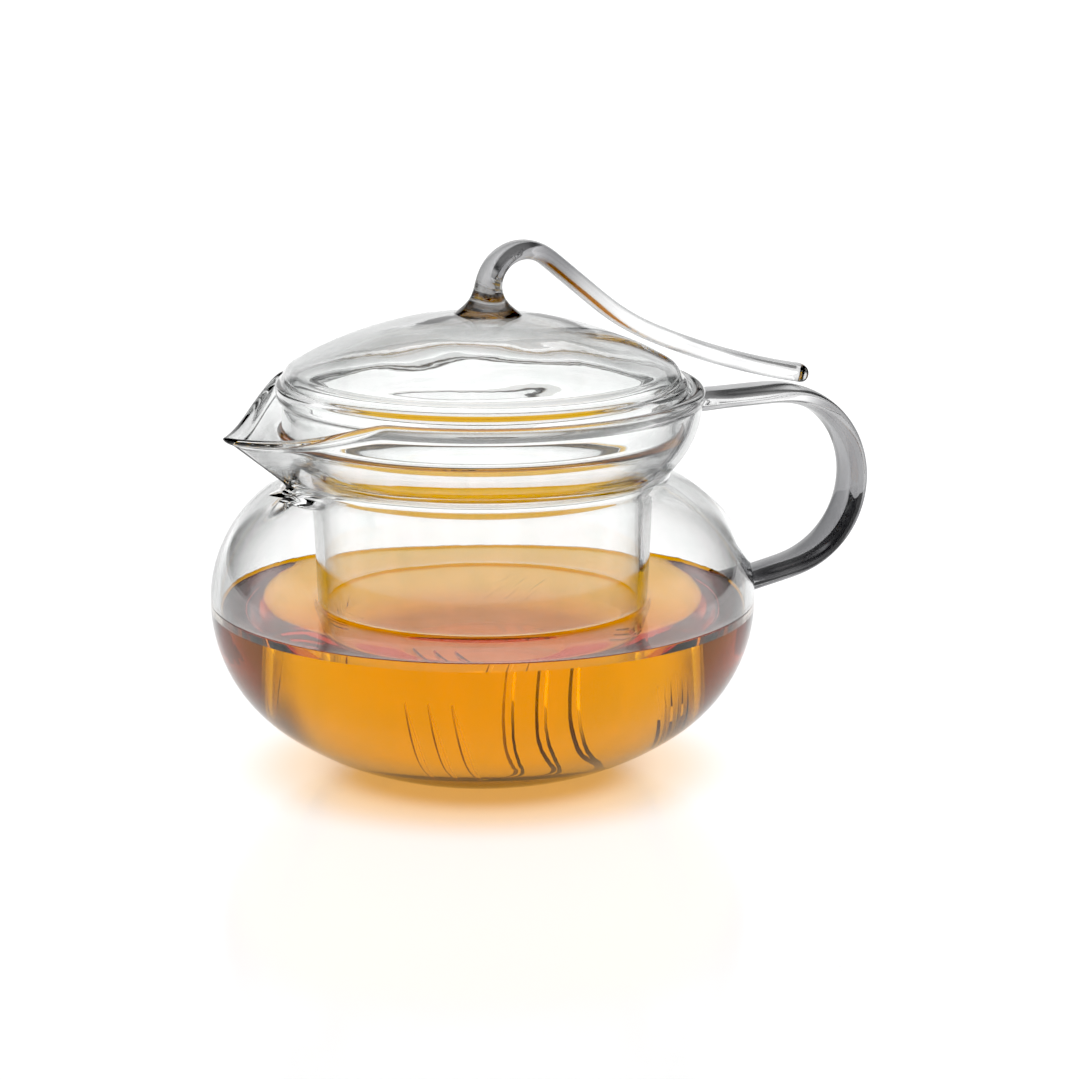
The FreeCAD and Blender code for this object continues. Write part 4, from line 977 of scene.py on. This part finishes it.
@dataclass
class Lid:
    """The domed lid with its ring, its skirt and its swept handle."""

    radius: float = 47.4
    apex: float = 110.0
    dome_arc: float = 90.5
    edge_arc: float = 4.5
    wall: float = 2.0
    ring_low: float = 90.0
    ring_high: float = 94.4
    ring_round: float = 1.4
    skirt_low: float = 82.65
    columns: int = 256
    wave: float = 0.16
    knob_offset: float = 1.6
    knob_height: float = 115.6
    knob_bend: float = 9.0
    knob_fall: float = 40.0
    knob_run: float = 17.7
    sweep_arc: float = 60.0
    sweep_turn: float = 16.0
    tail_arc: float = 190.0
    tail_turn: float = 13.0
    rod_width: float = 9.0
    rod_thick: float = 4.6
    upright_thick: float = 6.3
    root_radius: float = 8.0

    def dome(self) -> bpy.types.Object:
        """Build the dome, its ring and its skirt as one closed surface."""
        centre = (0.0, self.apex - self.dome_arc)
        edge_x = self.radius - self.edge_arc
        edge = (edge_x, centre[1] + math.sqrt((self.dome_arc - self.edge_arc) ** 2 - edge_x**2))
        bend = bearing(centre, edge)
        top_angle = math.acos(POLE / self.dome_arc)
        reach = self.radius + self.ring_round
        high, low = self.ring_high - self.ring_round, self.ring_low + self.ring_round
        foot = self.skirt_low + self.wall / 2.0
        inner_radius = self.radius - self.wall
        outline = np.concatenate((
            arc(centre, self.dome_arc, top_angle, bend),
            arc(edge, self.edge_arc, bend, 0.35),
            arc((self.radius, high), self.ring_round, 1.35, 0.0, 60),
            line((reach, high), (reach, low), 20),
            arc((self.radius, low), self.ring_round, 0.0, -1.35, 60),
            line((self.radius, self.ring_low - 0.6), (self.radius, foot)),
            arc((self.radius - self.wall / 2.0, foot), self.wall / 2.0, 0.0, -math.pi, 60),
            line((inner_radius, foot), (inner_radius, edge[1])),
            arc(edge, self.edge_arc - self.wall, 0.0, bend),
            arc(centre, self.dome_arc - self.wall, bend, top_angle),
        ))
        profile = paced(softened(outline, reach=0.3), turn=0.07, least=0.25, most=1.6)
        angle = (np.arange(self.columns) * TAU / self.columns)[None, :]
        radius, height = profile[:, :1] + 0.0 * angle, profile[:, 1:] + 0.0 * angle
        inner = np.zeros(len(profile), dtype=bool)
        inner[int(np.argmin(profile[:, 1])) :] = True
        wave = self.wave * ripple(angle, radius * 1.6, 2.7) * smoothstep((radius - 3.0) / 10.0)
        wave = np.where(inner[:, None], wave * smoothstep((height - 94.0) / 5.0), 0.0)
        return turned_skin(radius, height + wave, angle).object("lid_dome_glass")

    def handle(self) -> bpy.types.Object:
        """Build the handle: an upright root, a bend, a straight fall and a long tail that levels out."""
        fall = math.radians(self.knob_fall)
        later = fall - math.radians(self.sweep_turn)
        last = later - math.radians(self.tail_turn)
        upright = (self.knob_offset, self.knob_height)
        bend = (self.knob_offset + self.knob_bend, self.knob_height)
        half = math.pi / 2.0
        down = (bend[0] + self.knob_bend * math.sin(fall), bend[1] + self.knob_bend * math.cos(fall))
        fallen = (down[0] + self.knob_run * math.cos(fall), down[1] - self.knob_run * math.sin(fall))
        sweep = (fallen[0] + self.sweep_arc * math.sin(fall), fallen[1] + self.sweep_arc * math.cos(fall))
        swept = (sweep[0] - self.sweep_arc * math.sin(later), sweep[1] - self.sweep_arc * math.cos(later))
        tail = (swept[0] + self.tail_arc * math.sin(later), swept[1] + self.tail_arc * math.cos(later))
        start = (self.knob_offset, self.apex - 0.8)
        path = np.concatenate((
            line(start, upright),
            arc(bend, self.knob_bend, math.pi, half - fall),
            line(down, fallen),
            arc(sweep, self.sweep_arc, -half - fall, -half - later),
            arc(tail, self.tail_arc, -half - later, -half - last),
        ))
        path = softened(path, reach=1.6)
        total = travelled(path)[-1]
        share = np.linspace(0.0, 1.0, 190)
        places = total * (0.5 - 0.5 * np.cos(math.pi * share)) * 0.35 + total * share * 0.65
        path = resampled(path, places)
        root = np.exp(-((places / 3.0) ** 1.5))
        slim = smoothstep(places / 16.0)
        width = self.rod_width / 2.0 + (self.root_radius - self.rod_width / 2.0) * root
        thick = (self.upright_thick + (self.rod_thick - self.upright_thick) * slim) / 2.0
        thick = thick + (self.root_radius - self.upright_thick / 2.0) * root
        end = total - places
        cap = np.sqrt(np.clip(1.0 - (1.0 - np.minimum(end / 1.9, 1.0)) ** 2, 0.0, 1.0))
        start_cap = np.sqrt(np.clip(1.0 - (1.0 - np.minimum(places / 0.3, 1.0)) ** 2, 0.0, 1.0))
        caps = cap * start_cap
        rod = swept_skin(path, width * caps, thick * caps, columns=64, fullness=2.3)
        return rod.object("lid_handle_glass")

    def build(self, glass: bpy.types.Material, rod: bpy.types.Material) -> list[bpy.types.Object]:
        """Build both pieces, dress them, hang them on the lid's body and hide the CAD nodes they stand in
        for.
        """
        dome, handle = self.dome(), self.handle()
        for piece, node, finish in ((dome, "lid_dome", glass), (handle, "lid_handle", rod)):
            dress(piece, [finish])
            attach(piece, "lid")
            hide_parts(node)
        return [dome, handle]


# ---- The tea ----


@dataclass
class Tea:
    """The tea: it fills the bowl up to its level, inside the infuser too, and creeps up the glass."""

    vessel: VesselShape = field(default_factory=VesselShape)
    level: float = 41.0
    seep: float = 0.05
    creep: float = 0.8
    creep_reach: float = 1.2
    cup_radius: float = 38.7
    columns: int = 256

    def surface(self, radius: Array, shore: float) -> Array:
        """Height of the tea's top: the level, plus a falling exponential from each wall it touches."""
        at_wall = np.exp(-(shore - radius) / self.creep_reach)
        at_cup = np.exp(-np.maximum(np.abs(radius - self.cup_radius) - 1.0, 0.0) / self.creep_reach)
        return self.level + self.creep * (at_wall + 0.7 * at_cup)

    def build(self, surface: bpy.types.Material, side_of_tea: bpy.types.Material) -> bpy.types.Object:
        """Build the tea, dress it, hang it on the pot's body and hide the CAD node it stands in for."""
        side = self.vessel.side(self.vessel.wall - self.seep)
        side = side[side[:, 1] < self.level]
        floor = self.vessel.wall - self.seep
        side[:, 1] = np.maximum(side[:, 1], floor)
        shore = float(side[-1, 0])
        reach = np.linspace(shore, POLE, 900)
        top = np.stack((reach, self.surface(reach, shore)), axis=1)
        outline = np.concatenate((line((POLE, floor), (float(side[0, 0]), floor)), side, top))
        profile = paced(softened(outline, reach=0.12), turn=0.08, least=0.3, most=2.0)
        angle = (np.arange(self.columns) * TAU / self.columns)[None, :]
        shore_row = int(np.argmax(profile[:, 0] - 1000.0 * (profile[:, 1] < self.level)))
        on_wall = (np.arange(len(profile) - 1) < shore_row).astype(int)
        grid = (profile[:, :1] + 0.0 * angle, profile[:, 1:] + 0.0 * angle)
        piece = turned_skin(*grid, angle, on_wall).object("tea_body")
        dress(piece, [surface, side_of_tea])
        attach(piece, "pot")
        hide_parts("tea_in_pot")
        return piece


# ---- Studio ----


@dataclass
class Studio:
    """A white table top, overhead and tall soft lights, dim walls and the camera."""

    table_size: float = 12.0
    wall_light: float = 0.14
    tall_lights: float = 4.0
    lobe_light: float = 1.25
    front_share: float = 0.25
    front_from: float = -0.7
    front_full: float = 0.2
    lobe_low: float = -0.45
    lobe_high: float = 0.0
    lobe_top: float = 0.30
    lobe_gone: float = 0.50
    sky_light: float = 0.40
    sky_from: float = 0.5
    sky_full: float = 0.8
    azimuth: float = -22.0
    elevation: float = 13.8
    distance: float = 0.95
    target_height: float = 0.045
    aim_right: float = 0.01375
    aim_up: float = 0.0098
    lens: float = 132.4
    black: float = 0.03

    def table(self) -> bpy.types.Object:
        """The table top: one large plane just under the pot's foot."""
        half = self.table_size / 2.0
        mesh = bpy.data.meshes.new("table_top")
        corners = [(-half, -half, 0.0), (half, -half, 0.0), (half, half, 0.0), (-half, half, 0.0)]
        mesh.from_pydata([(x, y, -0.0002) for x, y, _z in corners], [], [(0, 1, 2, 3)])
        made = bpy.data.objects.new("table_top", mesh)
        bpy.context.scene.collection.objects.link(made)
        dress(made, [StudioTable().material()])
        return made

    def light(self) -> None:
        """Light from the world: overhead soft light, and four tall lights with dim walls between.

        The light behind the camera is the weakest, as the pot is lit mainly from behind."""
        world = bpy.data.worlds.new("studio")
        bpy.context.scene.world = world
        bench = Bench(world)
        place = bench.node("ShaderNodeTexCoord").outputs["Generated"]
        split = bench.node("ShaderNodeSeparateXYZ", {}, (place,))
        across, along, up = (Signal(bench, socket) for socket in split.outputs)
        turn = across.math("ARCTAN2", along) + math.radians(self.azimuth)
        lobes = bench.eased((turn * self.tall_lights).math("COSINE"), self.lobe_low, self.lobe_high)
        behind = bench.eased(turn.math("COSINE"), self.front_from, self.front_full)
        lobes = lobes * (self.front_share + (1.0 - self.front_share) * behind)
        low_light = self.wall_light + (self.lobe_light - self.wall_light) * lobes
        fade = 1.0 - bench.eased(up, self.lobe_top, self.lobe_gone)
        sky = bench.eased(up, self.sky_from, self.sky_full)
        strength = (low_light - self.wall_light) * fade + self.wall_light
        strength = strength + (self.sky_light - self.wall_light) * sky
        background = bench.node("ShaderNodeBackground", {}, {"Strength": strength})
        bench.node("ShaderNodeOutputWorld", {}, {"Surface": background.outputs[0]})

    def camera(self) -> None:
        """The camera, on a sphere round the pot's middle and turned a little off it."""
        turn, lift = math.radians(self.azimuth), math.radians(self.elevation)
        level = math.cos(lift)
        back = Vector((math.sin(turn) * level, -math.cos(turn) * level, math.sin(lift)))
        right = Vector((math.cos(turn), math.sin(turn), 0.0))
        above = back.cross(right)
        target = Vector((0.0, 0.0, self.target_height))
        place = target + back * self.distance
        aim = target + right * self.aim_right + above * self.aim_up
        away = (place - aim).normalized()
        side = Vector((0.0, 0.0, 1.0)).cross(away).normalized()
        data = bpy.data.cameras.new("camera")
        data.lens = self.lens
        data.sensor_width = 36.0
        data.clip_start = 0.05
        data.clip_end = 50.0
        made = bpy.data.objects.new("camera", data)
        axes = Matrix((side, away.cross(side), away)).transposed()
        made.matrix_world = Matrix.Translation(place) @ axes.to_4x4()
        bpy.context.scene.collection.objects.link(made)
        bpy.context.scene.camera = made

    def settings(self) -> None:
        """Ray depths that glass in glass needs, and plain colours."""
        scene = bpy.context.scene
        scene.cycles.max_bounces = 32
        scene.cycles.transmission_bounces = 32
        scene.cycles.glossy_bounces = 12
        scene.cycles.diffuse_bounces = 3
        scene.cycles.transparent_max_bounces = 16
        scene.cycles.caustics_refractive = True
        scene.cycles.caustics_reflective = True
        scene.cycles.blur_glossy = 0.3
        scene.cycles.sample_clamp_indirect = 6.0
        scene.cycles.use_denoising = True
        scene.view_settings.view_transform = "Standard"
        scene.view_settings.look = "None"
        scene.view_settings.use_curve_mapping = True
        curves = scene.view_settings.curve_mapping
        curves.black_level = (self.black, self.black, self.black)
        curves.update()

    def build(self) -> None:
        """Set everything up round the pot."""
        self.table()
        self.light()
        self.camera()
        self.settings()


def report(piece: bpy.types.Object) -> None:
    """Log a finished piece."""
    corners = np.array([tuple(corner) for corner in piece.bound_box]) / MM
    low, high = corners.min(axis=0), corners.max(axis=0)
    LOG.info("%s: %d faces, %s .. %s mm", piece.name, len(piece.data.polygons), low.round(1), high.round(1))


def main() -> None:
    """Build the teapot and the studio."""
    logging.basicConfig(level=logging.INFO, format="%(name)s: %(message)s")
    # Every glass below is given painted shade edge on, through its edge colour.
    glass = BlownGlass("pot_clear_glass").material()
    # Painted shade: the infuser's dry glass darkens almost to black edge on.
    infuser_dry = BlownGlass("infuser_clear_glass", edge=(0.08, 0.08, 0.08), painted_shade_from=0.5).material()
    # Painted shade: the infuser's glass in the tea darkens to deep amber edge on.
    infuser_wet = BlownGlass(
        "infuser_glass_in_tea", Refraction.CUP_IN_TEA, edge=(0.26, 0.10, 0.01), painted_shade_from=0.42
    ).material()
    lid_glass = BlownGlass("lid_clear_glass", wave_depth=0.0005, painted_shade_from=0.32).material()
    # Painted shade on the handles: dark grey patches through the cord colour, and grey edge on.
    rod_glass = BlownGlass(
        "handle_clear_glass", cords_and_shade_scale=34.0, cords_and_shade_low=0.32, cords_and_shade_high=0.56, cords_and_shade=(0.27, 0.27, 0.28),
        edge=(0.20, 0.205, 0.21), painted_shade_from=0.20, painted_shade_full=0.85,
    ).material()
    # Painted shade: the bowl's wet inner glass is tinted amber edge on.
    pot_wet = BlownGlass("pot_glass_on_tea", Refraction.WALL_ON_TEA, edge=(0.8, 0.6, 0.4)).material()
    pieces = Pot().build(glass, pot_wet, rod_glass)
    pieces.append(Infuser().build(infuser_dry, infuser_wet))
    pieces += Lid().build(lid_glass, rod_glass)
    # Painted shade on the tea: dark amber edge on at its sides, pale amber on its top.
    tea_side = BrewedTea("amber_tea_on_glass", Refraction.TEA_ON_WALL).material()
    tea_top = BrewedTea(edge=(1.0, 0.74, 0.42), painted_shade_from=0.4).material()
    pieces.append(Tea().build(tea_top, tea_side))
    Studio().build()
    for piece in pieces:
        report(piece)


if __name__ == "__main__":
    main()
